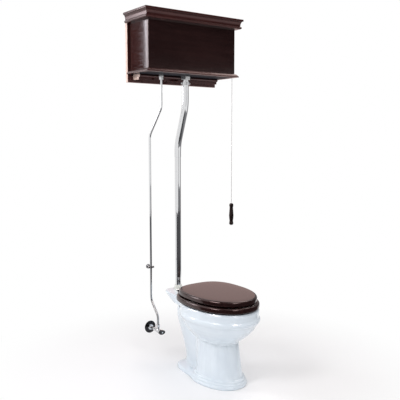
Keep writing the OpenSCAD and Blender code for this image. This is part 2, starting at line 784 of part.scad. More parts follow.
// Pipe clip: a split ring with two ears, a stalk and a foot on the wall
clip_ring_t = 2.5;
ear_reach = 20;
clip_h = 10;
module pipe_clip() {
  r = supply_r + clip_ring_t;
  color(plated) at(-supply_run_x, supply_run_out, clip_z) difference() {
    union() {
      cylinder(r = r, h = clip_h, $fn = 48);
      translate([-ear_reach, -3, 0]) cube([2 * ear_reach, 6, clip_h]);
      translate([0, supply_run_out, clip_h / 2]) outward()
        cylinder(r = 3.5, h = supply_run_out - supply_r - 1, $fn = 32);
      translate([0, supply_run_out, clip_h / 2]) outward() cylinder(r = 13, h = 3, $fn = 64);
    }
    translate([0, 0, -1]) cylinder(r = supply_r, h = clip_h + 2, $fn = 48);
    translate([-ear_reach - 1, -0.5, -1]) cube([ear_reach - r + 1.5, 1, clip_h + 2]);
    translate([r - 0.5, -0.5, -1]) cube([ear_reach - r + 1.5, 1, clip_h + 2]);
    for (x = [-1, 1] * (ear_reach - 5))
      translate([x, 5, clip_h / 2]) outward() cylinder(r = 2, h = 10, $fn = 32);
  }
}

module clip_screws() {
  color(plated) for (x = [-1, 1] * (ear_reach - 5))
    at(-supply_run_x + x, supply_run_out, clip_z + clip_h / 2) {
      translate([0, 4, 0]) outward() cylinder(r = 2, h = 7.5, $fn = 32);
      translate([0, -3, 0]) outward() cylinder(r = 3.5, h = 2.5, $fn = 32);
    }
}

// Fill valve: a riser on a threaded shank, a head and a clevis for the float arm
head_r = 14;
head_h = 26;
clevis_gap = 8;
float_pin_r = 2.5;
module fill_valve() {
  riser_z = liner_floor_z + gasket_t;
  head_z = float_pivot_z - head_h / 2;
  pin_d = clevis_gap + 10;
  color(brassy) difference() {
    union() {
      at(-supply_x, fill_out, supply_top_z) cylinder(r = shank_r, h = riser_z - supply_top_z + 1, $fn = 48);
      at(-supply_x, fill_out, riser_z) cylinder(r = riser_r + 8, h = 5, $fn = 64);
      at(-supply_x, fill_out, riser_z) cylinder(r = riser_r, h = head_z - riser_z + 1, $fn = 64);
      at(-supply_x, fill_out, head_z) cylinder(r = head_r, h = head_h, $fn = 64);
      for (d = [float_out - clevis_gap / 2 - 3, float_out + clevis_gap / 2])
        board(-supply_x - 6, -supply_x + 6, d, d + 3, float_pivot_z - 6, float_pivot_z + 6);
      board(-supply_x - 12, -supply_x - 6, float_out - clevis_gap / 2 - 3, fill_out - head_r + 4,
        float_pivot_z - 6, float_pivot_z + 6);
      at(-supply_x, float_out - clevis_gap / 2 - 4, float_pivot_z) outward()
        cylinder(r = float_pin_r, h = pin_d, $fn = 32);
    }
    at(-supply_x, fill_out, supply_top_z - 1)
      cylinder(r = shank_r - 2.5, h = head_z - supply_top_z + 8, $fn = 32);
  }
}

module fill_valve_gasket() {
  color(rubbery) at(-supply_x, fill_out, liner_floor_z) ring(riser_r + 7, shank_r, gasket_t);
}

module float_arm() {
  color(brassy) difference() {
    union() {
      at(-supply_x, float_out - 3.5, float_pivot_z) outward() cylinder(r = 5.5, h = 7, $fn = 48);
      at(-supply_x + 3, float_out, float_pivot_z) rotate([0, 90, 0])
        cylinder(r = float_arm_r, h = float_arm_l - float_ball_r - 3, $fn = 32);
    }
    at(-supply_x, float_out - 5, float_pivot_z) outward()
      cylinder(r = float_pin_r + pin_gap, h = 10, $fn = 48);
  }
}

module float_ball() {
  color(brassy) at(-supply_x + float_arm_l, float_out, float_pivot_z) {
    sphere(r = float_ball_r, $fn = 64);
    rotate([0, -90, 0]) cylinder(r = float_arm_r + 2, h = float_ball_r, $fn = 32);
  }
}

// Lever: a flat bar on a pin, tilted at rest with its outer end up
module flush_lever() {
  color(brassy) at(pivot_x, valve_out - lever_t / 2, pivot_z) rotate([0, -lever_half_swing, 0]) outward()
    linear_extrude(lever_t) difference() {
      union() {
        translate([-inner_arm, -lever_h / 2]) square([inner_arm + outer_arm, lever_h]);
        for (x = [-inner_arm, outer_arm]) translate([x, 0]) circle(r = lever_eye_r + 3.4, $fn = 48);
        circle(r = 9, $fn = 64);
      }
      circle(r = lever_pin_r + pin_gap, $fn = 48);
      for (x = [-inner_arm, outer_arm]) translate([x, 0]) circle(r = lever_eye_r, $fn = 48);
    }
}

// The bracket spans the case above the liner, and its two ears carry the lever's pin
bracket_w = 20;
bracket_z = case_top_z - 28;
bracket_t = 4;
flange_drop = 20;
ear_gap = lever_t / 2 + 1;
ear_t = 3.5;
screw_r = 1.5;
module bracket_screw_places() {
  for (x = [-6, 6], side = [0, 1])
    at(pivot_x + x, side == 0 ? wall_board_t + board_t : case_front_out - board_t, bracket_z - 8)
      rotate([0, 0, side == 0 ? 180 : 0]) children();
}

module lever_bracket() {
  d0 = wall_board_t + board_t;
  d1 = case_front_out - board_t;
  x0 = pivot_x - bracket_w / 2;
  x1 = pivot_x + bracket_w / 2;
  color(brassy) difference() {
    union() {
      board(x0, x1, d0, d1, bracket_z, bracket_z + bracket_t);
      board(x0, x1, d0, d0 + 3, bracket_z - flange_drop, bracket_z + 1);
      board(x0, x1, d1 - 3, d1, bracket_z - flange_drop, bracket_z + 1);
      for (d = [valve_out - ear_gap - ear_t, valve_out + ear_gap])
        board(pivot_x - 8, pivot_x + 8, d, d + ear_t, pivot_z - 8, bracket_z + 1);
    }
    at(pivot_x, valve_out - 20, pivot_z) outward() cylinder(r = lever_pin_r, h = 40, $fn = 48);
    bracket_screw_places() translate([0, -6, 0]) rotate([-90, 0, 0]) cylinder(r = screw_r, h = 12, $fn = 32);
  }
}

module lever_pin() {
  half = ear_gap + ear_t;
  color(plated) {
    at(pivot_x, valve_out - half - 2, pivot_z) outward()
      cylinder(r = lever_pin_r, h = 2 * half + 2, $fn = 48);
    at(pivot_x, valve_out + half, pivot_z) outward() cylinder(r = lever_pin_r + 2, h = 2, $fn = 48);
  }
}

module bracket_screws() {
  color(brassy) bracket_screw_places() {
    translate([0, -5, 0]) rotate([-90, 0, 0]) cylinder(r = screw_r, h = 12, $fn = 32);
    translate([0, -5, 0]) rotate([-90, 0, 0]) cylinder(r = screw_r + 1.7, h = 2, $fn = 32);
  }
}

// The tube from the fill valve's head to the top of the overflow
module refill_tube() {
  rise = flange_z + 10 + overflow_h;
  z = rise + 24;
  d = fill_out + 10;
  x = 8 - supply_x;
  route = [[x, float_pivot_z + head_h / 2], [x, z], [-overflow_x, z], [-overflow_x, rise - 12]];
  color(rubbery) translate([0, out(d), 0]) rotate([90, 0, 0]) tube_2d(route, 3, 1, 8);
}

// Pull chain: a ring and ferrule in the lever's eye, the chain as a plain tube, and a turned handle
hook_ring_r = 7;
hook_ferrule_l = 9;
hook_ring_z = outer_eye_z - lever_eye_r + lift_wire_r + eye_slack - hook_ring_r;
chain_top_z = hook_ring_z - hook_ring_r - hook_ferrule_l;
chain_end_z = chain_top_z - chain_l;

module chain_hook() {
  color(brassy) {
    at(chain_x, valve_out, hook_ring_z) rotate([0, 90, 0]) rotate_extrude($fn = 48)
      translate([hook_ring_r, 0]) circle(r = lift_wire_r, $fn = 24);
    at(chain_x, valve_out, chain_top_z) cylinder(r = 2.6, h = hook_ferrule_l, $fn = 32);
  }
}

chain_rings = 79;
chain_sides = 8;
module pull_chain() {
  points = [for (i = [0:chain_rings - 1], k = [0:chain_sides - 1])
    [
      chain_x + chain_r * cos(360 * k / chain_sides),
      out(valve_out) + chain_r * sin(360 * k / chain_sides),
      chain_end_z + chain_l * i / (chain_rings - 1)
    ]];
  color([0.8, 0.8, 0.8]) polyhedron(points, tube_faces(chain_rings, chain_sides));
}

// Triangles between rings of points, closed by a flat face at each end
function tube_faces(rings, sides) = concat(
  [[for (k = [0:sides - 1]) k]],
  [for (i = [0:rings - 2], k = [0:sides - 1]) [i * sides + k, (i + 1) * sides + (k + 1) % sides,
    i * sides + (k + 1) % sides]],
  [for (i = [0:rings - 2], k = [0:sides - 1]) [i * sides + k, (i + 1) * sides + k,
    (i + 1) * sides + (k + 1) % sides]],
  [[for (k = [sides - 1:-1:0]) (rings - 1) * sides + k]]
);

// Radius of the handle at a share of its length: a bead at each end, two necks and a swelling body
handle_form = [
  [0, 0.42], [0.03, 0.8], [0.075, 0.95], [0.12, 0.86], [0.2, 0.74], [0.38, 0.86], [0.56, 1], [0.7, 0.9],
  [0.8, 0.76], [0.87, 0.82], [0.93, 0.96], [0.975, 0.86], [1, 0.5]
];
function handle_radius(u) =
  handle_r * (lookup(u - 0.02, handle_form) + 2 * lookup(u, handle_form) + lookup(u + 0.02, handle_form)) / 4;

module pull_handle() {
  steps = 30;
  profile = [for (i = [0:steps]) [handle_radius(i / steps), -handle_l * i / steps]];
  color([0.1, 0.06, 0.05]) at(chain_x, valve_out, chain_end_z)
    rotate_extrude($fn = 64) polygon(concat([[0, 0]], profile, [[0, -handle_l]]));
}

// Outline of an egg: a place on it for an angle from the front, with one exponent in front and one behind
function power(v, n) = sign(v) * pow(abs(v), n);
function egg_point(t, w, back, front, wide_out, n_front, n_back, z) =
  let(n = abs(t) <= 90 || t >= 270 ? n_front : n_back, a = cos(t) >= 0 ? front - wide_out : wide_out - back)
  [w * power(sin(t), 2 / n), out(wide_out + a * power(cos(t), 2 / n)), z];

// A solid through level rings of points
module loft(rings) {
  sides = len(rings[0]);
  polyhedron([for (r = rings, p = r) p], tube_faces(len(rings), sides));
}

seat_wide_out = seat_back + 0.47 * (seat_front - seat_back);
seat_sides = 56;
function seat_ring_points(inset, z) = [for (k = [0:seat_sides - 1])
  egg_point(360 * k / seat_sides, seat_w / 2 - inset, seat_back + inset, seat_front - inset,
    seat_wide_out, 2.05, 2.9, z)];
function seat_hole_points(grow, z) = [for (k = [0:seat_sides - 1])
  egg_point(360 * k / seat_sides, seat_w / 2 - ring_w + grow, seat_back + 1.8 * ring_w - grow,
    seat_front - ring_w + grow, seat_wide_out, 2.1, 2.2, z)];

// A slab's rings: each edge is rounded over by a quarter circle
function rounded_levels(z, h, bottom_r, top_r) = concat(
  [for (t = [0:30:90]) [bottom_r * (1 - sin(t)), z + bottom_r * (1 - cos(t))]],
  [for (t = [0:22.5:90]) [top_r * (1 - cos(t)), z + h - top_r * (1 - sin(t))]]
);

module seat_ring() {
  color(wood) difference() {
    loft([for (l = rounded_levels(seat_z, seat_t, 5, 12)) seat_ring_points(l[0], l[1])]);
    loft([
      seat_hole_points(3, seat_z - 1), seat_hole_points(0, seat_z + 4),
      seat_hole_points(0, seat_top_z - 7), seat_hole_points(2.5, seat_top_z - 2.5),
      seat_hole_points(9, seat_top_z + 1)
    ]);
  }
}

module seat_lid() {
  color(wood) loft([for (l = rounded_levels(lid_z, lid_t, 5, 12)) seat_ring_points(lid_inset + l[0], l[1])]);
}

// Rubber feet under the seat and under the lid
module feet(places, z, h) {
  for (p = places, side = [-1, 1])
    at(side * p[0], p[1], z) cylinder(r1 = 6.5, r2 = 8, h = h, $fn = 32);
}

foot_inset = ring_w / 2 + 1;
module seat_bumpers() {
  color(rubbery) feet(
    [[seat_w / 2 - foot_inset, seat_wide_out + 115], [seat_w / 2 - foot_inset - 16, seat_wide_out - 115]],
    rim_z + soft_gap, bumper_h - soft_gap);
}

module lid_bumpers() {
  color(rubbery) feet([
    [seat_w / 2 - foot_inset - 24, seat_wide_out + 115], [seat_w / 2 - foot_inset - 18, seat_wide_out - 85]],
    seat_top_z + soft_gap, lid_gap - soft_gap);
}

// Hinge: a post each side, a pin across its eye, and leaves with knuckles for the seat and the lid
knuckle_r = 7.5;
knuckle_w = 12;
seat_knuckle_x = hinge_spacing / 2 + 12;
lid_knuckle_x = hinge_spacing / 2 - 24;
module leaf(x, outline) {
  for (side = [0, 1])
    mirror([side, 0, 0]) translate([x + knuckle_w, 0, 0]) stand_up(0)
    linear_extrude(knuckle_w) difference() {
      union() {
        translate([hinge_out, hinge_z]) circle(r = knuckle_r, $fn = 48);
        polygon(outline);
      }
      translate([hinge_out, hinge_z]) circle(r = hinge_pin_r + pin_gap, $fn = 48);
    }
}

module seat_leaves() {
  color(plated) leaf(seat_knuckle_x, [
    [hinge_out - 6, hinge_z - 1], [hinge_out + 12, seat_z - 2.5], [seat_back + 50, seat_z - 2.5],
    [seat_back + 50, seat_z], [seat_back - 4, seat_z], [hinge_out + 6, hinge_z - 1]
  ]);
}

module lid_leaves() {
  color(plated) leaf(lid_knuckle_x, [
    [hinge_out - 5, hinge_z + 2], [hinge_out + 8, lid_z], [seat_back + 46, lid_z],
    [seat_back + 46, lid_z - 2], [seat_back - 8, lid_z - 2], [hinge_out + 6, hinge_z - 2]
  ]);
}

bowl_rise = rim_z / 420;
deck_under_z = 366 * bowl_rise;
shank_l = 72;
post_shank_r = 4.5;
module hinge_posts() {
  color(plated) for (side = [-1, 1])
    at(side * hinge_spacing / 2, hinge_out, 0) difference() {
      union() {
        translate([0, 0, rim_z]) cylinder(r = post_r + 7, h = 3, $fn = 64);
        translate([0, 0, rim_z + 3]) cylinder(r = post_r - 2, h = hinge_z - rim_z - 3, $fn = 64);
        translate([-post_r, 0, hinge_z]) rotate([0, 90, 0]) cylinder(r = post_r, h = 2 * post_r, $fn = 64);
        translate([0, 0, rim_z - shank_l]) cylinder(r = post_shank_r, h = shank_l + 1, $fn = 48);
      }
      translate([-20, 0, hinge_z]) rotate([0, 90, 0]) cylinder(r = hinge_pin_r, h = 40, $fn = 48);
    }
}

module hinge_pins() {
  x0 = hinge_spacing / 2 - 27;
  color(plated) for (side = [0, 1])
    mirror([side, 0, 0]) {
      at(x0, hinge_out, hinge_z) rotate([0, 90, 0]) cylinder(r = hinge_pin_r, h = 54, $fn = 48);
      at(x0 - 3, hinge_out, hinge_z) rotate([0, 90, 0]) cylinder(r = hinge_pin_r + 2, h = 3, $fn = 48);
      at(x0 + 54, hinge_out, hinge_z) rotate([0, 90, 0]) cylinder(r = hinge_pin_r + 2, h = 3, $fn = 48);
    }
}

module hinge_washers() {
  color(rubbery) for (side = [-1, 1])
    at(side * hinge_spacing / 2, hinge_out, deck_under_z - 3) ring(11, post_shank_r, 3);
}

module hinge_nuts() {
  color(plated) for (side = [-1, 1])
    at(side * hinge_spacing / 2, hinge_out, deck_under_z - 12) hex_nut(10, post_shank_r, 9);
}

// Bowl: every level is one closed outline round a centre that lies a fixed distance from the wall.
// An outline is the soft union of a rounded front form and a narrower, squarer rear form.
// The tables are for a rim 420 high, a bead 380 wide and a front edge 712 from the wall, and
// level_points stretches them to the sizes above.
bowl_centre_out = 430;
bowl_sides = 44;
bowl_spread = bowl_w / 380;
bowl_stretch = (bowl_front - bowl_centre_out) / (712 - bowl_centre_out);

// Front form: height, front edge's distance from the wall, half width, half length behind the centre
front_form = [
  [0, 629, 129, 119], [3, 633, 133, 123], [13, 633, 133, 123], [16, 627, 127, 117],
  [27, 627, 127, 117], [30, 620, 120, 110], [41, 620, 120, 110], [45, 610, 110, 107],
  [72, 604, 105, 106], [140, 593, 99, 104], [200, 583, 96, 104], [226, 578, 97, 106],
  [234, 586, 105, 112], [254, 616, 127, 128], [273, 640, 143, 145], [294, 662, 158, 162],
  [315, 680, 169, 178], [334, 692, 176, 190], [343, 698, 180, 195], [351, 707, 186, 200],
  [361, 712, 190, 204], [370, 711, 189, 204], [379, 705, 184, 202], [388, 704, 183, 202],
  [411, 705, 184, 203], [418, 703, 182, 202], [420, 700, 179, 199]
];

// Rear form: height, rear edge's distance from the wall, half width, roundness of its outline
rear_form = [
  [0, 152, 110, 4], [3, 150, 112, 4], [16, 150, 112, 4], [22, 152, 110, 4], [26, 160, 98, 4],
  [29, 170, 72, 3.4], [34, 174, 62, 3], [60, 170, 58, 2.7], [110, 154, 58, 2.6], [160, 130, 61, 2.5],
  [205, 106, 65, 2.4], [245, 86, 69, 2.4], [280, 74, 71, 2.4], [315, 74, 69, 2.4], [345, 88, 63, 2.5],
  [366, 108, 56, 2.6], [366.01, 96, 97, 5], [394, 44, 100, 5], [409, 20, 103, 5], [416, 16, 102, 5],
  [420, 19, 99, 5]
];

// Basin: height, half length in front of the centre, half width, half length behind it
basin_form = [
  [140, 34, 32, 32], [143, 40, 38, 38], [165, 52, 46, 46], [200, 80, 62, 62], [230, 116, 82, 84],
  [253, 152, 104, 106], [276, 184, 122, 126], [310, 222, 144, 148], [343, 236, 147, 158],
  [366, 236, 146, 158], [377, 228, 137, 154], [411, 228, 136, 154], [421, 232, 140, 158]
];

function column(form, i) = [for (row = form) [row[0], row[i]]];
function at_level(form, i, z) = lookup(z, column(form, i));

// Radius of a superellipse towards an angle, from its half length and half width
function reach(t, a, b, n) = pow(pow(abs(cos(t)) / a, n) + pow(abs(sin(t)) / b, n), -1 / n);

function bowl_radius(t, z) =
  let(
    c = bowl_centre_out,
    front = cos(t) >= 0 ? at_level(front_form, 1, z) - c : at_level(front_form, 3, z),
    r1 = reach(t, front, at_level(front_form, 2, z), 2.15),
    rear = c - at_level(rear_form, 1, z), half = at_level(rear_form, 2, z),
    r2 = cos(t) >= 0 ? reach(t, 60, half, 2) : reach(t, rear, half, at_level(rear_form, 3, z))
  )
  pow(pow(r1, 10) + pow(r2, 10), 0.1);

function level_points(z, radius) = [for (k = [0:bowl_sides - 1])
  let(t = 360 * k / bowl_sides, along = radius[k] * cos(t) * (cos(t) > 0 ? bowl_stretch : 1))
  [radius[k] * sin(t) * bowl_spread, out(bowl_centre_out + along), z * bowl_rise]];

bowl_levels = [
  0, 3, 13, 16, 22, 26, 29, 34, 41, 45, 60, 72, 110, 145, 160, 183, 205, 226, 234, 245, 254, 273, 280, 294,
  315, 334, 343, 351, 361, 366, 370, 379, 388, 394, 409, 416, 420
];

// The bowl's outside between two of its levels. A step takes the lowest outline from just above it,
// where the deck stands out at the rear.
module bowl_outside(low, high, step = 0) {
  loft([for (z = bowl_levels) if (z >= low && z <= high)
    level_points(z, [for (k = [0:bowl_sides - 1])
      bowl_radius(360 * k / bowl_sides, z + (z == low ? step : 0))])]);
}

module bowl_basin() {
  loft([for (row = basin_form) level_points(row[0], [for (k = [0:bowl_sides - 1])
    let(t = 360 * k / bowl_sides) reach(t, cos(t) >= 0 ? row[1] : row[3], row[2], 2.1)])]);
}

// Centre line of the trapway: distance from the wall and height at each bend
trap_form = [
  [418, 172], [342, 176], [296, 212], [262, 256], [228, 268], [200, 246], [204, 200], [248, 124],
  [rough_in, 84], [rough_in, 36]
];
trap_line = [for (p = trap_form) [p.x, p.y * bowl_rise]];
module trapway() {
  loft([for (i = [0:len(trap_line) - 1]) bent_ring(trap_line, i, trap_r, 20)]);
}

// Hollows under the pedestal: distance from the wall, radius at the floor, radius at the top, height
foot_hollows = [[520, 66, 54, 112], [415, 58, 48, 106]];

// The one china casting is drawn as four nodes, one on top of another, so that its hollows can stay
// open in collision: the pedestal, the sump up to the waist, the bowl, and the rim with the deck.
sump_z = 145;
waist_z = 234;
module pedestal() {
  color(china) difference() {
    bowl_outside(0, sump_z);
    bowl_basin();
    trapway();
    translate([0, 0, -1]) cylinder(r = outlet_r, h = outlet_l + 1, $fn = 96);
    for (p = foot_hollows)
      at(0, p[0], -1) cylinder(r1 = p[1], r2 = p[2], h = p[3] * bowl_rise + 1, $fn = 64);
    for (side = [-1, 1])
      translate([side * floor_bolt_spacing / 2, 0, -1]) cylinder(r = floor_bolt_r, h = 40, $fn = 48);
  }
}

module sump() {
  color(china) difference() {
    bowl_outside(sump_z, waist_z);
    bowl_basin();
    trapway();
  }
}

module bowl() {
  color(china) difference() {
    bowl_outside(waist_z, 366);
    bowl_basin();
    trapway();
  }
}

module rim() {
  color(china) difference() {
    union() {
      bowl_outside(366, 420, 0.01);
      at(0, lower_pipe_out, deck_under_z + 1)
        cylinder(r = inlet_r + 6, h = rim_z - deck_under_z - 1, $fn = 64);
    }
    bowl_basin();
    for (side = [-1, 1])
      at(side * hinge_spacing / 2, hinge_out, deck_under_z - 20)
        cylinder(r = post_shank_r + hole_gap, h = rim_z - deck_under_z + 40, $fn = 48);
    at(0, lower_pipe_out, rim_z - inlet_l) cylinder(r = inlet_r, h = inlet_l + 1, $fn = 64);
    at(0, lower_pipe_out, rim_z - 24) outward() cylinder(r = 8, h = 240, $fn = 48);
  }
}

pedestal();
sump();
bowl();
rim();
inlet_cone();
flush_pipe_lower();
flush_pipe_upper();
slip_nut();
slip_washer();
flush_valve_body();
flush_valve_gasket();
flush_locknut();
overflow_tube();
stopper_guide();
fill_valve();
fill_valve_gasket();
shank_nut();
coupling_nut();
supply_tube();
pipe_clip();
clip_screws();
stop_valve();
compression_nut();
wall_nipple();
wall_plate();
refill_tube();
wall_board();
support_ledge();
case_back();
case_front();
case_left();
case_right();
base_board();
base_moulding();
liner();
lever_bracket();
lever_pin();
bracket_screws();
hinge_posts();
hinge_pins();
hinge_nuts();
hinge_washers();
crown_moulding();
cover_panel();
seat_ring();
seat_leaves();
seat_bumpers();
seat_lid();
lid_leaves();
lid_bumpers();
flush_lever();
stopper();
lift_rod();
float_arm();
float_ball();
chain_hook();
pull_chain();
pull_handle();
stop_handle();
handle_screw();
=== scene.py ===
"""The looks of a high-level toilet: glazed bowl, lacquered wood, plated pipes and a pull chain.

Metres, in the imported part's frame: the origin is the waste outlet's centre at the floor, +Z is up,
+X is to the right of someone facing the wall, and the wall is the plane y = WALL.
"""
import json
import math

import bpy
import numpy as np
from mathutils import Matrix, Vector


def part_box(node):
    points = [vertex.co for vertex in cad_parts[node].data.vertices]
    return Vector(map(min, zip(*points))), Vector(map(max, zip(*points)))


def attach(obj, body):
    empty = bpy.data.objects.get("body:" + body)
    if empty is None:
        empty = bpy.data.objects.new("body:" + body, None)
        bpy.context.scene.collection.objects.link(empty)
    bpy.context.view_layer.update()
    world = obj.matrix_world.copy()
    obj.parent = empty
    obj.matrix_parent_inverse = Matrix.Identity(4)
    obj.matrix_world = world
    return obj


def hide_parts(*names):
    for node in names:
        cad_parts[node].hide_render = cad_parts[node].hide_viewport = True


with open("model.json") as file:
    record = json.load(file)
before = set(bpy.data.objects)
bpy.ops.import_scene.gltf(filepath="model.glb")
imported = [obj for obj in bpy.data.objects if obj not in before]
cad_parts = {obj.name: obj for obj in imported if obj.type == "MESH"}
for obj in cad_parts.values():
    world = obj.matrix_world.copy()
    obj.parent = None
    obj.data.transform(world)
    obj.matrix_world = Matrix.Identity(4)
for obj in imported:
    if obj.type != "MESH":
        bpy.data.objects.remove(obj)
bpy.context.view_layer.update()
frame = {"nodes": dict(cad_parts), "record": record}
bpy.context.scene.view_settings.view_transform = "Standard"

# ------------------------------------------------------------ sizes, as in the part's source

WALL = 0.305
CASE_HALF = 0.288       # half the wooden case's width
CASE_FRONT = 0.222      # distances from the wall are called out: the case's front face
WALL_BOARD_THICK = 0.020
PANEL_THICK = 0.016
BASE_Z = 1.655          # the base moulding's foot
FLOOR_IN_Z = 1.673      # the base board's top, where the front panel stands
CROWN_Z = 1.926         # the crown's foot
PANEL_TOP_Z = 1.9658
TOP_Z = 1.980
CROWN_LIP = 0.036       # how far the crown and the base moulding stand out from the case
BASE_LIP = 0.018
VALVE_OUT = 0.140       # the flush valve and the chain
PIPE_OUT = 0.060        # the straight flush pipe
LOWER_PIPE_R = 0.0175
UPPER_PIPE_R = 0.019
SUPPLY_R = 0.0065
SUPPLY_X = -0.172       # the supply tube's upright run
SUPPLY_OUT = 0.034
SUPPLY_TURN = math.atan2(0.019, 0.096)      # its plane is turned, so that it reaches its valve
STOP_X = -0.1609        # the stop valve's axis through the wall plate
STOP_Z = 0.202
CHAIN_X = 0.336
CHAIN_L = 0.944
RIM_Z = 0.420
BOWL_CENTRE = 0.430     # distance from the wall to the middle that the bowl's outlines turn round
SEAT_WIDE = 0.445       # distance from the wall to the seat's widest place
# The seat's half width, its rear and front edges' distances from the wall, and its outline's
# exponents in front of the widest place and behind it.
SEAT_OUTLINE = (0.186, 0.212, 0.708, 2.05, 2.9)


def out(d):
    """The y of a place at a distance from the wall."""
    return WALL - d


# ------------------------------------------------------------ camera

camera_data = bpy.data.cameras.new("camera")
camera = bpy.data.objects.new("camera", camera_data)
bpy.context.scene.collection.objects.link(camera)
camera_data.sensor_width = 36.0
camera_data.lens = 53.1
camera_data.shift_x = -0.005
camera_data.clip_end = 60.0
camera.location = (-1.901, -2.611, 1.309)
camera.rotation_euler = (math.radians(90 - 6.02), 0.0, -math.radians(36.0))
bpy.context.scene.camera = camera


# ------------------------------------------------------------ mesh making

def new_object(name, points, faces):
    """A mesh object from points and faces, linked to the scene."""
    mesh = bpy.data.meshes.new(name)
    mesh.from_pydata(points, [], faces)
    made = bpy.data.objects.new(name, mesh)
    bpy.context.scene.collection.objects.link(made)
    return made


def shade(mesh, sharp):
    """Smooth faces, except over edges sharper than an angle in degrees."""
    mesh.polygons.foreach_set("use_smooth", np.ones(len(mesh.polygons), bool))
    mesh.set_sharp_from_angle(angle=math.radians(sharp))
    mesh.update()


def put(name, points, faces, finish, body, replaced, slot, sharp=40.0):
    """A visible piece that rides a body and stands for some CAD nodes."""
    piece = new_object(name, np.asarray(points, float).tolist(), [list(f) for f in faces])
    shade(piece.data, sharp)
    piece.data.materials.append(finish)
    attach(piece, body)
    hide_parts(*replaced)
    return piece


def grid_faces(rows, cols, along=False):
    """Quads of a grid whose rows run along and whose columns run round. It closes round and, if
    asked, along."""
    i = np.arange(rows if along else rows - 1)[:, None]
    k = np.arange(cols)[None, :]
    i2, k2 = (i + 1) % rows, (k + 1) % cols
    quads = np.stack([i * cols + k, i * cols + k2, i2 * cols + k2, i2 * cols + k], -1)
    return quads.reshape(-1, 4)


def closed_skin(grid):
    """Points and faces of a skin through rings of points, each end closed by a fan to its middle.
    Rings run counter-clockwise about the direction from the first ring to the last."""
    rows, cols = grid.shape[:2]
    points = np.concatenate([grid.reshape(-1, 3), grid[0].mean(0)[None], grid[-1].mean(0)[None]])
    k = np.arange(cols)
    k2 = (k + 1) % cols
    last = (rows - 1) * cols
    low = np.stack([np.full(cols, rows * cols), k2, k], -1)
    high = np.stack([np.full(cols, rows * cols + 1), last + k, last + k2], -1)
    return points, grid_faces(rows, cols).tolist() + low.tolist() + high.tolist()


def ring_skin(grid):
    """Points and faces of a ring: its section's points run along the rows, and both directions
    close."""
    rows, cols = grid.shape[:2]
    return grid.reshape(-1, 3), grid_faces(rows, cols, along=True).tolist()


def lathe(profile, centre, sides):
    """A profile of (radius, height) rows turned round an upright axis through a centre:
    x = radius cos t, y = radius sin t, z = height."""
    t = np.linspace(0, 2 * np.pi, sides, endpoint=False)
    profile = np.asarray(profile, float)
    r, h = profile[:, :1], profile[:, 1:]
    ring = np.stack([r * np.cos(t), r * np.sin(t), h + 0 * t], -1)
    return closed_skin(ring + np.asarray(centre, float))


def eased_line(corners, bend, steps):
    """A line of (distance out, height) corners with each inner corner turned into an arc: its
    points are the quadratic blend (1-u)^2 a + 2u(1-u) p + u^2 b between places a and b at the
    bend's length from the corner p."""
    corners = np.asarray(corners, float)
    line = [corners[0]]
    u = np.linspace(0, 1, steps)[:, None]
    for before, p, after in zip(corners[:-2], corners[1:-1], corners[2:]):
        a = p + bend * (before - p) / np.linalg.norm(before - p)
        b = p + bend * (after - p) / np.linalg.norm(after - p)
        line.extend((1 - u) ** 2 * a + 2 * u * (1 - u) * p + u ** 2 * b)
    line.append(corners[-1])
    return np.array(line)


def bent_tube(line, radius, x, ends, sides, start=0.0, turn=0.0):
    """A round tube along a line of (distance, height) in an upright plane. The plane goes through x
    at a start distance from the wall and is turned about the upright there. Each ring lies across
    the line's direction: point = line + radius (cos a across + sin a sideways). The last ring at
    each end is narrower by a small share, which rounds the end in."""
    line = np.asarray(line, float)
    way = np.gradient(line, axis=0)
    way /= np.linalg.norm(way, axis=1)[:, None]
    radius = np.full(len(line), float(radius))
    line = np.concatenate([line[:1], line, line[-1:]])
    way = np.concatenate([way[:1], way, way[-1:]])
    radius = np.concatenate([[radius[0] - ends], radius, [radius[-1] - ends]])
    line[0] -= 0.4 * ends * way[0]
    line[-1] += 0.4 * ends * way[-1]
    a = np.linspace(0, 2 * np.pi, sides, endpoint=False)
    f, z = line[:, :1], line[:, 1:]
    wf, wz = way[:, :1], way[:, 1:]
    r = radius[:, None]
    side, away = r * np.cos(a) + 0 * f, f - r * np.sin(a) * wz
    grid = np.stack([x + side * np.cos(turn) + away * np.sin(turn),
                     out(start) + side * np.sin(turn) - away * np.cos(turn),
                     z + r * np.sin(a) * wf], -1)
    return closed_skin(grid)


def eased_box(low, high, ease, steps=4):
    """A board with eased edges: a rounded rectangle in plan, drawn in by a quarter circle at its
    top and bottom. Plan corner = centre of the corner's arc + ease (cos a, sin a)."""
    low, high = np.asarray(low, float), np.asarray(high, float)
    q = np.linspace(0, np.pi / 2, steps)
    arcs = np.concatenate([q + i * np.pi / 2 for i in range(4)])
    sign_x = np.repeat([1, -1, -1, 1], steps)
    sign_y = np.repeat([1, 1, -1, -1], steps)
    middle, half = (low + high) / 2, (high - low) / 2
    foot = [(ease * (1 - np.sin(v)), low[2] + ease * (1 - np.cos(v))) for v in q]
    head = [(ease * (1 - np.cos(v)), high[2] - ease * (1 - np.sin(v))) for v in q]
    levels = np.concatenate([foot, head])
    inset, z = levels[:, :1], levels[:, 1:]
    x = middle[0] + sign_x * (half[0] - ease) + (ease - inset) * np.cos(arcs)
    y = middle[1] + sign_y * (half[1] - ease) + (ease - inset) * np.sin(arcs)
    return closed_skin(np.stack([x, y, z + 0 * x], -1))


# ------------------------------------------------------------ finishes

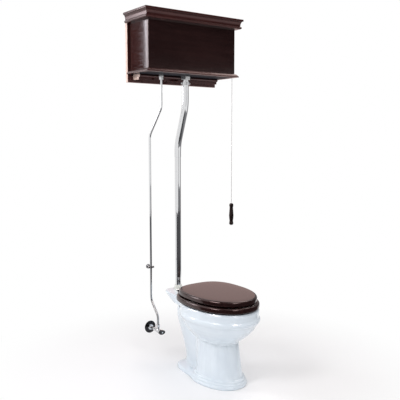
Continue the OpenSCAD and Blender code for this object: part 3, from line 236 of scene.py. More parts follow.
class Number:
    """A shader value that can be used in sums: each operator adds one Math node."""

    def __init__(self, finish, socket):
        self.finish, self.socket = finish, socket

    def _math(self, operation, a, b):
        node = self.finish.make("ShaderNodeMath", {"operation": operation}, {0: a, 1: b})
        return Number(self.finish, node.outputs[0])

    def __add__(self, other): return self._math("ADD", self, other)
    def __radd__(self, other): return self._math("ADD", other, self)
    def __sub__(self, other): return self._math("SUBTRACT", self, other)
    def __rsub__(self, other): return self._math("SUBTRACT", other, self)
    def __mul__(self, other): return self._math("MULTIPLY", self, other)
    def __rmul__(self, other): return self._math("MULTIPLY", other, self)
    def __pow__(self, other): return self._math("POWER", self, other)
    def above(self, other): return self._math("MAXIMUM", self, other)


class Finish:
    """One material. make() adds a node: its type, its settings, and the values or links of its
    sockets."""

    def __init__(self, name, tree=None):
        if tree is None:
            self.material = bpy.data.materials.new(name)
            self.material.use_nodes = True
            tree = self.material.node_tree
        self.tree = tree
        tree.nodes.clear()

    def make(self, kind, settings=None, sockets=None):
        node = self.tree.nodes.new(kind)
        for key, value in (settings or {}).items():
            setattr(node, key, value)
        for key, value in (sockets or {}).items():
            if isinstance(value, Number):
                value = value.socket
            if isinstance(value, bpy.types.NodeSocket):
                self.tree.links.new(value, node.inputs[key])
            else:
                node.inputs[key].default_value = value
        return node

    def place(self, scale=(1, 1, 1), shift=(0, 0, 0)):
        """The piece's own coordinates, in metres, stretched by a Mapping node."""
        where = self.make("ShaderNodeTexCoord").outputs["Object"]
        sockets = {"Vector": where, "Scale": scale, "Location": shift}
        return self.make("ShaderNodeMapping", None, sockets).outputs[0]

    def axes(self, where):
        """The x, y and z of a place."""
        split = self.make("ShaderNodeSeparateXYZ", None, {0: where})
        return [Number(self, socket) for socket in split.outputs]

    def noise(self, where, scale=1.0, detail=3.0, rough=0.5, warp=0.0):
        sockets = {"Vector": where, "Scale": scale, "Detail": detail, "Roughness": rough,
                   "Distortion": warp}
        return Number(self, self.make("ShaderNodeTexNoise", None, sockets).outputs["Fac"])

    def cut(self, value, low, high, to_low=0.0, to_high=1.0):
        """The value between two limits, brought smoothly to 0 to 1 or to other ends."""
        sockets = {"Value": value, "From Min": low, "From Max": high, "To Min": to_low,
                   "To Max": to_high}
        node = self.make("ShaderNodeMapRange", {"interpolation_type": "SMOOTHSTEP"}, sockets)
        return Number(self, node.outputs["Result"])

    def blend(self, share, a, b):
        """Colour a where the share is 0 and colour b where it is 1."""
        a = a if isinstance(a, bpy.types.NodeSocket) else (*a, 1.0)
        b = b if isinstance(b, bpy.types.NodeSocket) else (*b, 1.0)
        node = self.make("ShaderNodeMix", {"data_type": "RGBA"}, {0: share, 6: a, 7: b})
        return node.outputs[2]

    def bump(self, height, depth, strength):
        sockets = {"Height": height, "Distance": depth, "Strength": strength}
        return self.make("ShaderNodeBump", None, sockets).outputs[0]

    def seen(self):
        """1 for the rays that show the white background: the camera's own, mirrored ones and
        those that pass through glass."""
        path = self.make("ShaderNodeLightPath")
        own = Number(self, path.outputs["Is Camera Ray"])
        mirrored = own.above(Number(self, path.outputs["Is Glossy Ray"]))
        return mirrored.above(Number(self, path.outputs["Is Transmission Ray"]))

    def glow(self, colour, strength):
        sockets = {"Color": (*colour, 1.0), "Strength": strength}
        return self.make("ShaderNodeEmission", None, sockets)

    def surface(self, shader):
        """The material, with this shader node as its surface."""
        self.make("ShaderNodeOutputMaterial", None, {"Surface": shader.outputs[0]})
        return self.material

    def done(self, **sockets):
        """The material, with a Principled shader that has these sockets."""
        named = {key.replace("_", " "): value for key, value in sockets.items()}
        return self.surface(self.make("ShaderNodeBsdfPrincipled", None, named))


def darker(colour, share):
    return tuple(share * c for c in colour)


DARK_STAIN = (0.0115, 0.0048, 0.0048)
LIGHT_STAIN = (0.0200, 0.0084, 0.0080)
PLATE_TINT = (0.74, 0.745, 0.755)


def lacquered_wood(name, grain, dark=DARK_STAIN, light=LIGHT_STAIN, rough=0.12,
                   tint=(1.0, 0.78, 0.76), shine=0.5, ends=0.0):
    """Dark stained mahogany under lacquer: long faint streaks, fine pores, and slow patches in the
    stain. The grain runs along one axis. The lacquer mirrors with its own tint, and its roughness
    varies a little. With a half length given, the end faces beyond it along x are painted pale
    peach and made rougher: a painted highlight."""
    f = Finish(name)
    fine, long_way = 150.0, 7.0
    where = f.place({"x": (long_way, fine, fine), "y": (fine, long_way, fine),
                     "z": (fine, fine, long_way)}[grain])
    streaks = f.noise(where, 0.35, 5.0, 0.6, 0.4)
    pores = f.noise(where, 2.2, 2.0, 0.5)
    patches = f.noise(f.place(), 5.0, 2.0, 0.5)
    colour = f.blend(f.cut(streaks * 0.7 + patches * 0.45, 0.38, 0.8), dark, light)
    colour = f.blend(f.cut(pores, 0.56, 0.74) * 0.4, colour, darker(dark, 0.4))
    roughness = f.cut(pores, 0.3, 0.8, rough, rough + 0.07)
    # Painted highlight: the end faces beyond the half length turn pale peach, and rougher.
    if ends:
        along = f.axes(f.place())[0]
        painted_mask = f.cut(along.above(along * -1.0), ends - 0.0008, ends - 0.0002)
        painted_end_colour = f.blend(streaks, (0.70, 0.50, 0.42), (0.86, 0.70, 0.62))
        colour = f.blend(painted_mask, colour, painted_end_colour)
        roughness = roughness.above(painted_mask * 0.5)
    waves = f.noise(f.place(), 40.0, 2.0, 0.5) - 0.3 * f.cut(pores, 0.55, 0.8)
    return f.done(Base_Color=colour, Roughness=roughness, Normal=f.bump(waves, 0.00004, 0.5),
                  IOR=1.6, Specular_IOR_Level=shine, Specular_Tint=(*tint, 1.0))


def glazed_china(name):
    """Vitreous china: a bluish white body under a clear glaze that waves a little and has rare
    pinholes."""
    f = Finish(name)
    slow = f.noise(f.place(), 7.0, 2.0, 0.5)
    specks = f.noise(f.place(), 420.0, 1.0, 0.4)
    colour = f.blend(f.cut(slow, 0.3, 0.7), (0.735, 0.815, 0.880), (0.775, 0.850, 0.905))
    colour = f.blend(f.cut(specks, 0.78, 0.84) * 0.5, colour, (0.50, 0.50, 0.50))
    wave = f.noise(f.place(), 26.0, 2.0, 0.45) * 0.8 + f.noise(f.place(), 160.0, 1.0, 0.4) * 0.2
    return f.done(Base_Color=colour, Roughness=f.cut(slow, 0.2, 0.8, 0.10, 0.16), IOR=1.5,
                  Normal=f.bump(wave, 0.0007, 0.35), Coat_Weight=0.5, Coat_Roughness=0.04)


def plated_metal(name, tint=PLATE_TINT, rough=0.06, middle=None, painted_shade_below=0.0):
    """Polished plate over brass: water spots and wiping marks lift its roughness here and there.
    With a middle tint given, the wall plate's middle has it, inside a circle round the supply's
    axis. Below a height the plate is painted darker, a painted shade, and made rougher."""
    f = Finish(name)
    spots = f.noise(f.place(), 90.0, 3.0, 0.6)
    wiped = f.noise(f.place((30, 30, 4)), 3.0, 3.0, 0.6)
    marks = f.cut(spots, 0.5, 0.75) * 0.6 + f.cut(wiped, 0.4, 0.8) * 0.4
    colour = f.blend(marks, tint, darker(tint, 0.93))
    if middle:
        x, _, z = f.axes(f.place(shift=(-STOP_X, 0, -STOP_Z)))
        colour = f.blend(f.cut((x * x + z * z) ** 0.5, 0.0150, 0.0165), middle, colour)
    roughness = rough + marks * 0.10
    # Painted shade: below the height the plate turns darker, and rougher.
    if painted_shade_below:
        height = f.axes(f.place())[2]
        painted_mask = 1.0 - f.cut(height, painted_shade_below - 0.012, painted_shade_below + 0.012)
        colour = f.blend(painted_mask, colour, darker(tint, 0.62))
        roughness = roughness.above(painted_mask * 0.42)
    return f.done(Base_Color=colour, Metallic=1.0, Roughness=roughness,
                  Normal=f.bump(spots, 0.00008, 0.3))


def cast_brass(name, tint=(0.60, 0.40, 0.16), rough=0.32):
    """Unplated brass that has gone dull: brown tarnish gathers in patches, with a fine cast
    grain."""
    f = Finish(name)
    patches = f.noise(f.place(), 38.0, 5.0, 0.62)
    sand = f.noise(f.place(), 700.0, 2.0, 0.5)
    tarnish = f.cut(patches, 0.42, 0.68)
    return f.done(Base_Color=f.blend(tarnish, tint, (0.22, 0.13, 0.055)),
                  Metallic=1.0 - 0.25 * tarnish, Roughness=rough + 0.25 * tarnish,
                  Normal=f.bump(sand, 0.00015, 0.5))


def moulded(name, tint, rough, grain=0.0001, vary=0.12):
    """A moulded piece, of rubber or plastic: an even colour with slow shading and a fine mould
    texture."""
    f = Finish(name)
    slow = f.noise(f.place(), 18.0, 3.0, 0.55)
    fine = f.noise(f.place(), 520.0, 2.0, 0.5)
    colour = f.blend(f.cut(slow, 0.3, 0.7), darker(tint, 1 - vary), darker(tint, 1 + vary))
    return f.done(Base_Color=colour, Roughness=f.cut(fine, 0.3, 0.7, rough - 0.06, rough + 0.08),
                  Normal=f.bump(fine, grain, 0.5))


def board_with_painted_ends(name, node):
    """Redder wood for a board whose end faces, at its CAD box's half length, carry a pale painted
    highlight.
    """
    return lacquered_wood(name, "x", (0.024, 0.0060, 0.0060), (0.040, 0.011, 0.010),
                          tint=(1.0, 0.66, 0.66), shine=0.40, ends=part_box(node)[1].x)


panel_wood = lacquered_wood("panel_wood", "x")
side_wood = lacquered_wood("side_wood", "y", (0.028, 0.007, 0.006), (0.045, 0.013, 0.011), 0.03,
                           (1.0, 0.94, 0.98))
trim_wood = lacquered_wood("trim_wood", "x", (0.026, 0.0070, 0.0066), (0.042, 0.012, 0.011), 0.18,
                           (1.0, 0.70, 0.68), 0.40)
board_wood = lacquered_wood("board_wood", "x")
# The wall board's and the ledge's end faces carry a painted highlight.
wall_board_wood = board_with_painted_ends("wall_board_wood", "wall_board")
ledge_wood = board_with_painted_ends("ledge_wood", "support_ledge")
# The base board's underside: a bluish black instead of the stain's red, a painted shade.
under_wood = lacquered_wood("under_wood", "x", (0.020, 0.020, 0.026), (0.030, 0.030, 0.038), 0.5,
                            shine=0.02)
seat_wood = lacquered_wood("seat_wood", "y", (0.011, 0.0030, 0.0028), (0.020, 0.006, 0.0055))
turned_wood = lacquered_wood("turned_wood", "z", (0.006, 0.003, 0.003), (0.012, 0.006, 0.006), 0.2,
                             shine=0.2)
china = glazed_china("china")
plate = plated_metal("plate")
# The supply tube's lower run is painted darker: a painted shade.
supply_plate = plated_metal("supply_plate", painted_shade_below=0.372)
small_plate = plated_metal("small_plate", (0.60, 0.60, 0.61), 0.10)
chain_metal = plated_metal("chain_metal", (0.47, 0.44, 0.44), 0.34)
brass = cast_brass("brass")
copper = cast_brass("copper", (0.62, 0.30, 0.17), 0.26)
rubber = moulded("rubber", (0.016, 0.016, 0.017), 0.55)
cone_rubber = moulded("cone_rubber", (0.76, 0.77, 0.71), 0.45, vary=0.05)
liner_plastic = moulded("liner_plastic", (0.62, 0.62, 0.59), 0.48)
dark_plate = plated_metal("dark_plate", (0.040, 0.040, 0.044), 0.14, middle=PLATE_TINT)
dark_enamel = moulded("dark_enamel", (0.010, 0.010, 0.011), 0.16, 0.00003)


# ------------------------------------------------------------ pull chain, which hangs free

def chain_links(top, length, pitch=0.0052, wire=0.0007, half_w=0.0009, around=14, section=5):
    """Small oval links, each turned a quarter turn from the last. A link's line is a stadium: a
    half circle at each end joined by straight sides, and its wire is a circle carried round that
    line."""
    count = int(round(length / pitch))
    pitch = length / count
    a = np.linspace(0, 2 * np.pi, around, endpoint=False)
    b = np.linspace(0, 2 * np.pi, section, endpoint=False)
    reach_up = pitch * 0.5 + wire * 0.6
    line = np.stack([half_w * np.cos(a),
                     np.sign(np.sin(a)) * (reach_up - half_w) + half_w * np.sin(a)], -1)
    normal = np.stack([np.cos(a), np.sin(a)], -1)
    u = line[None] + wire * np.cos(b)[:, None, None] * normal[None]
    v = np.broadcast_to(wire * np.sin(b)[:, None], u.shape[:2])
    flat = np.stack([u[..., 0], v, u[..., 1]], -1)
    turned = np.stack([-flat[..., 1], flat[..., 0], flat[..., 2]], -1)
    order = np.arange(count)
    links = np.where((order % 2 == 0)[:, None, None, None], flat[None], turned[None])
    centres = np.stack([np.full(count, top[0]), np.full(count, top[1]),
                        top[2] - pitch * (order + 0.5)], -1)
    links = links + centres[:, None, None]
    one = grid_faces(section, around, along=True)
    faces = one[None] + (order * section * around)[:, None, None]
    return links.reshape(-1, 3), faces.reshape(-1, 4)


cad_chain_low, cad_chain_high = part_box("pull_chain")
chain_top = (CHAIN_X, out(VALVE_OUT), cad_chain_high.z)
chain = put("pull_chain_links", *chain_links(chain_top, CHAIN_L), chain_metal, "pull",
            ["pull_chain"], "plated", sharp=70)
chain_path = [(CHAIN_X, out(VALVE_OUT), z)
              for z in np.linspace(chain_top[2], cad_chain_low.z, 40)]


# ------------------------------------------------------------ bowl

# height, front edge's distance from the wall, half width, half length behind the centre
FRONT_FORM = np.array([
    [0, 629, 129, 119], [3, 633, 133, 123], [13, 633, 133, 123], [16, 627, 127, 117],
    [27, 627, 127, 117], [30, 620, 120, 110], [41, 620, 120, 110], [45, 610, 110, 107],
    [72, 604, 105, 106], [140, 593, 99, 104], [200, 583, 96, 104], [226, 578, 97, 106],
    [234, 586, 105, 112], [254, 616, 127, 128], [273, 640, 143, 145], [294, 662, 158, 162],
    [315, 680, 169, 178], [334, 692, 176, 190], [343, 698, 180, 195], [351, 707, 186, 200],
    [361, 712, 190, 204], [370, 711, 189, 204], [379, 705, 184, 202], [388, 704, 183, 202],
    [411, 705, 184, 203], [418, 703, 182, 202], [420, 700, 179, 199]]) / 1000
# height, rear edge's distance from the wall, half width, roundness of the outline in thousandths
REAR_FORM = np.array([
    [0, 152, 110, 4000], [3, 150, 112, 4000], [16, 150, 112, 4000], [22, 152, 110, 4000],
    [26, 160, 98, 4000], [29, 170, 72, 3400], [34, 174, 62, 3000], [60, 170, 58, 2700],
    [110, 154, 58, 2600], [160, 130, 61, 2500], [205, 106, 65, 2400], [245, 86, 69, 2400],
    [280, 74, 71, 2400], [315, 74, 69, 2400], [345, 88, 63, 2500], [366, 108, 56, 2600],
    [366.5, 96, 97, 5000], [394, 44, 100, 5000], [409, 20, 103, 5000], [416, 16, 102, 5000],
    [420, 19, 99, 5000]]) / 1000
# height, half length in front of the centre, half width, half length behind it
BASIN_FORM = np.array([
    [140, 34, 32, 32], [143, 40, 38, 38], [165, 52, 46, 46], [200, 80, 62, 62],
    [230, 116, 82, 84], [253, 152, 104, 106], [276, 184, 122, 126], [310, 222, 144, 148],
    [343, 236, 147, 158], [366, 236, 146, 158], [377, 228, 137, 154], [411, 228, 136, 154],
    [421, 232, 140, 158]]) / 1000


def at_level(form, column, z, soften=0.0014):
    """A form's column at each height: straight lines between its rows, softened by averaging seven
    heights with bell-shaped weights, which rounds each step as a glaze does."""
    offsets = np.linspace(-2, 2, 7)
    weights = np.exp(-offsets ** 2 / 2)
    weights /= weights.sum()
    spread = z[..., None] + soften * offsets
    return (np.interp(spread, form[:, 0], form[:, column]) * weights).sum(-1)


def reach(c, s, a, b, n):
    """Radius of a superellipse towards a direction: (|c/a|^n + |s/b|^n)^(-1/n)."""
    return (np.abs(c / a) ** n + np.abs(s / b) ** n) ** (-1 / n)


def ramp(value, start, length):
    """0 before a start and 1 after a length from it, straight in between."""
    return np.clip((value - start) / length, 0, 1)


def bowl_radius(t, z):
    """Outside radius round the bowl's centre: the soft union (tenth powers) of the front form's
    superellipse and the rear form's squarer one, with shallow flats let into the pedestal's
    front."""
    c, s = np.cos(t), np.sin(t)
    front = np.where(c >= 0, at_level(FRONT_FORM, 1, z) - BOWL_CENTRE, at_level(FRONT_FORM, 3, z))
    r1 = reach(c, s, front, at_level(FRONT_FORM, 2, z), 2.15)
    rear, rear_half = BOWL_CENTRE - at_level(REAR_FORM, 1, z), at_level(REAR_FORM, 2, z)
    r2 = np.where(c >= 0, reach(c, s, 0.060, rear_half, 2.0),
                  reach(c, s, rear, rear_half, at_level(REAR_FORM, 3, z)))
    flat = np.pi / 9
    within = np.mod(t + flat / 2, flat) - flat / 2
    dip = 1 - np.cos(flat / 2) / np.cos(within)
    fade = ramp(z, 0.046, 0.02) * ramp(-z, -0.222, 0.012) * ramp(c, -0.15, 0.35)
    r1 = r1 * (1 + (1.1 * dip - 0.004) * fade)
    return (r1 ** 10 + r2 ** 10) ** 0.1


def basin_radius(t, z):
    """Radius of the basin: a superellipse at each height, with the mouth of the trapway as half an
    ellipsoid pushed back into the sump's rear wall."""
    c, s = np.cos(t), np.sin(t)
    half_length = np.where(c >= 0, at_level(BASIN_FORM, 1, z), at_level(BASIN_FORM, 3, z))
    r = reach(c, s, half_length, at_level(BASIN_FORM, 2, z), 2.1)
    mouth_z, mouth_r, mouth_deep = 0.174, 0.025, 0.055
    inside = 1 - ((z - mouth_z) / mouth_r) ** 2 - (r * s / mouth_r) ** 2
    return r + np.where(c < 0, mouth_deep * np.sqrt(np.clip(inside, 0, 1)), 0)


def bowl_skin(cols=240, ease=0.0045):
    """The bowl as one closed skin: up the outside, over the rim with quarter rounds of the ease,
    and down the basin to the sump."""
    t = np.linspace(0, 2 * np.pi, cols, endpoint=False)[None, :]
    up = np.concatenate([np.arange(0.0, 0.050, 0.0015), np.arange(0.050, 0.222, 0.008),
                         np.arange(0.222, 0.3630, 0.004), np.arange(0.3630, 0.3695, 0.0006),
                         np.arange(0.3700, 0.420, 0.002)])[:, None]
    up = up[up[:, 0] < RIM_Z - ease]
    outer = bowl_radius(t, up + 0 * t)
    edge = bowl_radius(t, np.full((1, cols), RIM_Z))
    a = np.linspace(0, np.pi / 2, 7)[1:, None]
    turn_r, turn_z = edge - ease * (1 - np.cos(a)), RIM_Z - ease * (1 - np.sin(a)) + 0 * t
    lip = basin_radius(t, np.full((1, cols), 0.416))
    u = np.linspace(0, 1, 8)[1:-1, None]
    top_r, top_z = turn_r[-1:] * (1 - u) + (lip + ease) * u, np.full((6, cols), RIM_Z)
    a = np.linspace(np.pi / 2, 0, 6)[:, None]
    in_r, in_z = lip + ease * (1 - np.cos(a)), RIM_Z - ease * (1 - np.sin(a)) + 0 * t
    down = np.concatenate([np.arange(0.412, 0.205, -0.005), np.arange(0.205, 0.146, -0.003),
                           [0.1445, 0.1425, 0.141]])[:, None]
    basin = basin_radius(t, down + 0 * t)
    basin[-3:] *= np.array([[0.93], [0.75], [0.45]])    # the sump's floor draws in
    r = np.concatenate([outer, turn_r, top_r, in_r, basin])
    z = np.concatenate([up + 0 * t, turn_z, top_z, in_z, down + 0 * t])
    return closed_skin(np.stack([r * np.sin(t), out(BOWL_CENTRE + r * np.cos(t)), z], -1))


def drill(piece, holes):
    """Takes round upright holes out of a piece: each is (x, distance from the wall, low z, high z,
    low radius, high radius), a cylinder or a cone."""
    points, faces, start = [], [], 0
    for x, d, z0, z1, r0, r1 in holes:
        p, f = lathe([(r0, z0), (r1, z1)], (x, out(d), 0), 48)
        points.append(p)
        faces += [[i + start for i in face] for face in f]
        start += len(p)
    cutter = new_object("cutter", np.concatenate(points).tolist(), faces)
    modifier = piece.modifiers.new("holes", "BOOLEAN")
    modifier.operation, modifier.object, modifier.solver = "DIFFERENCE", cutter, "EXACT"
    bpy.context.view_layer.update()
    cut_piece = piece.evaluated_get(bpy.context.evaluated_depsgraph_get())
    made = bpy.data.meshes.new_from_object(cut_piece)
    piece.modifiers.clear()
    piece.data = made
    bpy.data.objects.remove(cutter)
    shade(made, 40)


bowl = put("bowl_glazed", *bowl_skin(), china, "root", ["pedestal", "sump", "bowl", "rim"],
           "china", sharp=60)
drill(bowl, [
    (-0.078, 0.305, -0.001, 0.040, 0.006, 0.006),       # left floor bolt
    (0.078, 0.305, -0.001, 0.040, 0.006, 0.006),        # right floor bolt
    (0.0, 0.305, -0.001, 0.060, 0.040, 0.040),          # waste outlet
    (0.0, 0.520, -0.001, 0.112, 0.066, 0.054),          # front pocket under the foot
    (0.0, PIPE_OUT, 0.394, 0.422, 0.022, 0.022),        # flush inlet
])
drill(bowl, [(0.0, 0.415, -0.001, 0.106, 0.058, 0.048)])    # rear pocket, which meets the front one


# ------------------------------------------------------------ seat and lid

LOW_EASE, TOP_EASE = 0.005, 0.012       # rounds of the seat's and the lid's outer edges


def power(v, n):
    """A signed power: the sign of v times |v|^n."""
    return np.sign(v) * np.abs(v) ** n


def egg(t, half_w, back, front, n_front, n_back):
    """Outline of a seat, as (x, y): x = w sin(t)^(2/n), distance = widest + length cos(t)^(2/n),
    with one exponent in front of the widest place and one behind it."""
    c, s = np.cos(t), np.sin(t)
    n = np.where(c >= 0, n_front, n_back)
    length = np.where(c >= 0, front - SEAT_WIDE, SEAT_WIDE - back)
    return half_w * power(s, 2 / n), out(SEAT_WIDE + length * power(c, 2 / n))


def even_turns(outline, count):
    """Parameters that space an egg outline's points evenly along it."""
    t = np.linspace(0, 2 * np.pi, 4001)
    x, y = egg(t, *outline)
    length = np.concatenate([[0], np.cumsum(np.hypot(np.diff(x), np.diff(y)))])
    return np.interp(np.linspace(0, length[-1], count, endpoint=False), length, t)


def seat_skin(z=0.428, thick=0.027, ring=0.066, cols=220):
    """The seat ring: a section carried round two egg outlines. A section point lies at a share of
    the way from the outer outline to the inner one. Its outer top edge has a wide quarter round,
    and its top is dished a little."""
    half_w, back, front = SEAT_OUTLINE[:3]
    inner = (half_w - ring, back + 1.8 * ring, front - ring, 2.1, 2.2)
    in_top, in_low, dished = 0.010, 0.004, 0.0012
    t = even_turns(SEAT_OUTLINE, cols)
    ox, oy = egg(t, *SEAT_OUTLINE)
    ix, iy = egg(t, *inner)
    width = np.hypot(ix - ox, iy - oy)
    a = np.linspace(0, np.pi / 2, 9)
    b = np.linspace(0, np.pi / 2, 6)
    top = z + thick
    inset = np.concatenate([LOW_EASE * (1 - np.sin(b)), TOP_EASE * (1 - np.cos(a))])
    levels = np.concatenate([z + LOW_EASE * (1 - np.cos(b)), top - TOP_EASE * (1 - np.sin(a))])
    share_out = inset[:, None] / width
    order = np.concatenate([np.arange(9)[::-1], 9 + np.arange(6)[::-1]])
    in_inset = np.concatenate([in_top * (1 - np.cos(a)), in_low * (1 - np.sin(b))])[order]
    share_in = 1 - in_inset[:, None] / width
    level_in = np.concatenate([top - in_top * (1 - np.sin(a)), z + in_low * (1 - np.cos(b))])[order]
    across = np.linspace(0.2, 0.8, 5)
    dish = top - dished * np.sin(np.pi * across)
    share = np.concatenate([share_out, across[:, None] + 0 * width, share_in])
    height = np.concatenate([levels, dish, level_in])[:, None] + 0 * width
    return ring_skin(np.stack([ox + (ix - ox) * share, oy + (iy - oy) * share, height], -1))


def lid_skin(z=0.460, thick=0.028, inset=0.013, cols=220, rise=0.0008):
    """The lid: a slab inside the seat's outline, its lower edge eased and its upper edge rounded
    wide, with a top that rises a little to its middle."""
    half_w, back, front, *exponents = SEAT_OUTLINE
    t = even_turns(SEAT_OUTLINE, cols)
    a = np.linspace(0, np.pi / 2, 10)
    b = np.linspace(0, np.pi / 2, 6)
    top = z + thick - rise
    edge = np.concatenate([LOW_EASE * (1 - np.sin(b)), TOP_EASE * (1 - np.cos(a)),
                           [0.05, 0.09, 0.13, 0.165]])
    height = np.concatenate([z + LOW_EASE * (1 - np.cos(b)), top - TOP_EASE * (1 - np.sin(a)),
                             top + rise * np.array([0.5, 0.8, 0.95, 1.0])])
    rings = []
    for d, h in zip(inset + edge, height):
        x, y = egg(t, half_w - d, back + d, front - d, *exponents)
        rings.append(np.stack([x, y, np.full(cols, h)], -1))
    return closed_skin(np.array(rings))


put("seat_ring_lacquered", *seat_skin(), seat_wood, "seat", ["seat_ring"], "stained_wood", sharp=60)
put("seat_lid_lacquered", *lid_skin(), seat_wood, "lid", ["seat_lid"], "stained_wood", sharp=60)


# ------------------------------------------------------------ mouldings of the cistern

def crown_profile():
    """The crown's section, (out from the case, up from the crown's foot): a bead, a cove and a
    plain band."""
    h, lip = TOP_Z - CROWN_Z, CROWN_LIP
    bead = np.radians(np.linspace(-75, 60, 19))
    cove = np.radians(np.linspace(0, 90, 17))
    ease = np.radians(np.linspace(0, 90, 6))
    rows = [(0.001, 0.0), (lip - 0.014, 0.0)]
    rows += [(lip - 0.014 + 0.007 * math.cos(v), 0.007 + 0.007 * math.sin(v)) for v in bead]
    rows += [(lip - 0.003 - 0.010 * math.cos(v), 0.015 + (h - 0.027) * math.sin(v)) for v in cove]
    rows += [(lip - 0.0012, h - 0.0112), (lip, h - 0.010)]
    rows += [(lip - 0.003 * (1 - math.cos(v)), h - 0.003 * (1 - math.sin(v))) for v in ease]
    rows += [(0.001, h)]
    return np.array(rows)


def base_profile():
    """The base moulding's section: a thin square edge under a slope that swells a little. The slope
    is 0.3 of a quarter ellipse, (cos v, sin v), and 0.7 of the straight line between its ends."""
    turn = np.radians(np.linspace(0, 90, 15))
    rows = [(0.0, 0.0), (BASE_LIP - 0.001, 0.0), (BASE_LIP - 0.0002, 0.0004), (BASE_LIP, 0.001)]
    swell = [(math.cos(v) * 0.3 + 0.7 * (1 - 2 * v / math.pi),
              math.sin(v) * 0.3 + 0.7 * 2 * v / math.pi) for v in turn]
    rows += [(0.006 + (BASE_LIP - 0.006) * a, 0.004 + 0.014 * b) for a, b in swell]
    return np.array(rows + [(0.0, 0.018)])


def mitred_sweep(profile, foot_z, back_y):
    """A section carried along the left side, the front and the right side of the case. At each
    front corner a point stands out by its own distance in both directions, which makes the
    mitre."""
    d, h = profile[:, 0], foot_z + profile[:, 1]
    x, y = CASE_HALF + d, out(CASE_FRONT) - d
    back = np.full_like(d, back_y)
    stations = [(-x, back), (-x, y), (x, y), (x, back)]
    grid = np.array([np.stack([sx, sy, h], -1) for sx, sy in stations])[:, ::-1]
    rows, cols = grid.shape[:2]
    faces = grid_faces(rows, cols).tolist()
    faces.append(list(range(cols))[::-1])
    faces.append([(rows - 1) * cols + k for k in range(cols)])
    return grid.reshape(-1, 3), faces


put("crown_run", *mitred_sweep(crown_profile(), CROWN_Z, out(WALL_BOARD_THICK) - 0.0005), trim_wood,
    "cistern_lid", ["crown_moulding"], "stained_wood", sharp=28)
put("base_run", *mitred_sweep(base_profile(), BASE_Z, out(WALL_BOARD_THICK)), trim_wood, "root",
    ["base_moulding"], "stained_wood", sharp=28)
put("case_front_panel", *eased_box((-CASE_HALF, out(CASE_FRONT), FLOOR_IN_Z),
                                   (CASE_HALF, out(CASE_FRONT - PANEL_THICK), PANEL_TOP_Z), 0.0012),
    panel_wood, "root", ["case_front"], "stained_wood", sharp=12)


# ------------------------------------------------------------ flush pipe and supply

def pipe_profile(radius, low, high, ease=0.001):
    """A straight pipe's (radius, height) rows: chamfered ends, each with a ring half an ease from
    the chamfer, so that the smooth shading stays there."""
    return [(radius - ease, low), (radius, low + ease), (radius, low + 1.5 * ease),
            (radius, high - 1.5 * ease), (radius, high - ease), (radius - ease, high)]


flush_line = eased_line([[VALVE_OUT, 1.608], [VALVE_OUT, 1.484], [PIPE_OUT, 1.268],
                         [PIPE_OUT, 1.198]], 0.045, 16)
put("flush_pipe_bent", *bent_tube(flush_line, UPPER_PIPE_R, 0.0, 0.001, 56), plate, "root",
    ["flush_pipe_upper"], "plated", sharp=50)
put("flush_pipe_straight",
    *lathe(pipe_profile(LOWER_PIPE_R, 0.408, 1.238), (0, out(PIPE_OUT), 0), 56), plate, "root",
    ["flush_pipe_lower"], "plated", sharp=50)
upper, lower = [(d - SUPPLY_OUT) / math.cos(SUPPLY_TURN) for d in (0.130, 0.090)]
supply_line = eased_line([[upper, 1.638], [upper, 1.473], [0.0, 1.321], [0.0, 0.375],
                          [lower, 0.288], [lower, 0.226]], 0.022, 14)
put("supply_line",
    *bent_tube(supply_line, SUPPLY_R, SUPPLY_X, 0.0005, 32, SUPPLY_OUT, SUPPLY_TURN), supply_plate,
    "root", ["supply_tube"], "plated", sharp=50)


# ------------------------------------------------------------ finishes of the nodes that stay

SLOT_FINISH = {
    "china": china, "stained_wood": panel_wood, "turned_wood": turned_wood, "plated": plate,
    "brass_work": brass, "dark_handle": dark_enamel, "float_copper": copper,
    "pale_rubber": cone_rubber, "black_rubber": rubber, "liner_plastic": liner_plastic,
}
OWN_FINISH = {
    "case_left": side_wood, "case_right": side_wood, "wall_board": wall_board_wood,
    "case_back": board_wood, "support_ledge": ledge_wood, "cover_panel": board_wood,
    "base_board": under_wood, "wall_plate": dark_plate,
}
for small in ("stop_valve", "wall_nipple", "compression_nut", "coupling_nut", "slip_nut",
              "flush_locknut", "shank_nut", "pipe_clip", "clip_screws"):
    OWN_FINISH[small] = small_plate
slot_of = {row["node"]: row["material_slot"] for row in frame["record"]["subparts"]}
for node, piece in frame["nodes"].items():
    piece.data.materials.clear()
    piece.data.materials.append(OWN_FINISH.get(node, SLOT_FINISH[slot_of[node]]))


# ------------------------------------------------------------ floor, background and lamps

def floor_finish():
    """A pale floor that takes the object's shadow near it and turns into the white background
    further out."""
    f = Finish("floor")
    x, y, _ = f.axes(f.make("ShaderNodeTexCoord").outputs["Object"])
    far = f.cut((x * x + y * y) ** 0.5, 0.5, 1.4)
    pale = f.make("ShaderNodeBsdfDiffuse", None, {"Color": (0.93, 0.93, 0.93, 1.0)})
    white = f.glow((1.0, 1.0, 1.0), 1.0)
    sockets = {0: far * f.seen(), 1: pale.outputs[0], 2: white.outputs[0]}
    return f.surface(f.make("ShaderNodeMixShader", None, sockets))


FLOOR_HALF, FLOOR_Z = 14, -0.0005
floor = new_object("floor", [(x * FLOOR_HALF, y * FLOOR_HALF, FLOOR_Z)
                             for x, y in ((-1, -1), (1, -1), (1, 1), (-1, 1))], [(0, 1, 2, 3)])
floor.data.materials.append(floor_finish())

world = bpy.data.worlds.new("studio")
bpy.context.scene.world = world
world.use_nodes = True
sky = Finish("studio", world.node_tree)
shown = sky.blend(sky.seen(), (0.44, 0.45, 0.47), (1.0, 1.0, 1.0))
background = sky.make("ShaderNodeBackground", None, {"Color": shown, "Strength": 1.0})
sky.make("ShaderNodeOutputWorld", None, {"Surface": background.outputs[0]})


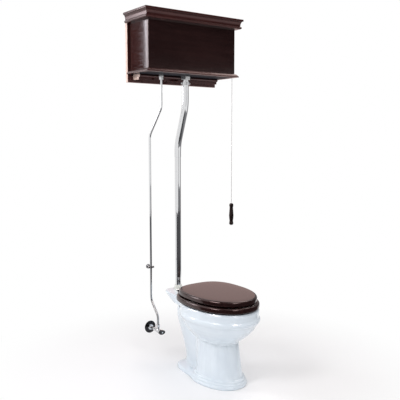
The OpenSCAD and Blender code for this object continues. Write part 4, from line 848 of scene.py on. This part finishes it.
def softbox(name, place, aim, size, power_w, tint):
    """A rectangular area lamp at a place, turned to face what it is aimed at."""
    data = bpy.data.lights.new(name, "AREA")
    data.shape, data.energy, data.color = "RECTANGLE", power_w, tint
    data.size, data.size_y = size
    lamp = bpy.data.objects.new(name, data)
    lamp.location = place
    way = np.asarray(place, float) - np.asarray(aim, float)
    way /= np.linalg.norm(way)
    lamp.rotation_euler = (math.acos(way[2]), 0.0, math.atan2(way[1], way[0]) + math.pi / 2)
    bpy.context.scene.collection.objects.link(lamp)


WARM = (1.0, 0.955, 0.95)
softbox("box_over", (-0.4, -1.2, 3.6), (0, -0.1, 0.6), (2.4, 2.0), 18, (1.0, 0.98, 0.96))
softbox("box_side", (-2.5, -0.3, 2.55), (0, 0, 0.7), (0.9, 1.1), 26, WARM)
softbox("box_front", (-0.9, -2.8, 2.55), (0, 0, 0.7), (0.9, 1.1), 26, WARM)
softbox("box_left", (-2.46, 2.81, 2.42), (-0.288, 0.18, 1.8), (1.0, 1.5), 40, (0.97, 0.96, 1.0))
softbox("box_ceiling", (1.4, 0.15, 3.57), (0, 0, 1.7), (1.8, 1.8), 30, (1.0, 0.90, 0.84))

DARK_CARD = (0.020, 0.018, 0.019)
SEAT_CARD = (0.085, 0.085, 0.090)


def card(name, corners, colour=DARK_CARD, strength=1.0):
    """A card that only mirroring surfaces see, as a studio sets beside a polished thing. Most are
    dark."""
    f = Finish(name)
    made = new_object(name, corners, [tuple(range(len(corners)))])
    made.data.materials.append(f.surface(f.glow(colour, strength)))
    made.visible_camera = made.visible_diffuse = False
    made.visible_shadow = made.visible_transmission = False


def toward(bearing, distance):
    """A place on the floor plan at a bearing, in degrees to the right of the camera's side of the
    object."""
    a = math.radians(bearing - 126)
    return distance * math.cos(a), distance * math.sin(a)


def upright_card(name, bearings, heights, distance, colour=DARK_CARD, strength=1.0):
    """An upright card between two bearings."""
    (first, last), (low, high) = [toward(b, distance) for b in bearings], heights
    corners = [(*first, low), (*last, low), (*last, high), (*first, high)]
    card(name, corners, colour, strength)


def level_card(name, rows, z, colour=DARK_CARD):
    """A level card with corners at rows of (bearing, distance)."""
    card(name, [(*toward(bearing, distance), z) for bearing, distance in rows], colour)


# These the front panel, the pipes and the seat mirror: dark, grey, and two bright glints.
upright_card("flag_panel", (44, 106), (1.88, 3.5), 2.6)
upright_card("flag_line", (22, 38), (0.80, 1.87), 2.5, (0.36, 0.36, 0.37))
upright_card("flag_edge", (100, 165), (0.0, 1.87), 2.5, (0.30, 0.30, 0.31))
upright_card("flag_middle", (8, 112), (0.30, 0.92), 1.6, (0.24, 0.24, 0.25))
upright_card("flag_seat_left", (-68, 22), (0.02, 0.76), 1.05, SEAT_CARD)
upright_card("flag_seat_right", (22, 112), (0.02, 0.76), 1.05, SEAT_CARD)
card("flag_left", [(-3.29, 3.70, 1.7), (-1.91, 4.50, 1.7), (-1.91, 4.50, 3.7), (-3.29, 3.70, 3.7)])
upright_card("flag_high", (-14, 60), (1.95, 5.0), 3.8)
level_card("flag_over", [(-68, 0.3), (-68, 9.0), (22, 12.7), (112, 9.0), (112, 0.3)], 3.78)
level_card("card_over", [(-60, 0.2), (-40, 2.6), (40, 2.6), (60, 0.2)], 3.45, (0.5, 0.5, 0.5))
upright_card("card_glint_right", (14, 42), (2.80, 3.50), 3.7, (1.0, 0.86, 0.85), 22.0)
upright_card("card_glint_left", (-62, -44), (2.00, 2.55), 2.35, (1.0, 0.88, 0.87), 15.0)
card("flag_floor", [(-1.9, -2.6, 0.03), (2.4, -2.6, 0.03), (2.4, -0.62, 0.03), (-1.1, -0.62, 0.03)])
upright_card("card_behind", (155, 205), (0.5, 2.0), 3.0, (0.81, 0.61, 0.58))
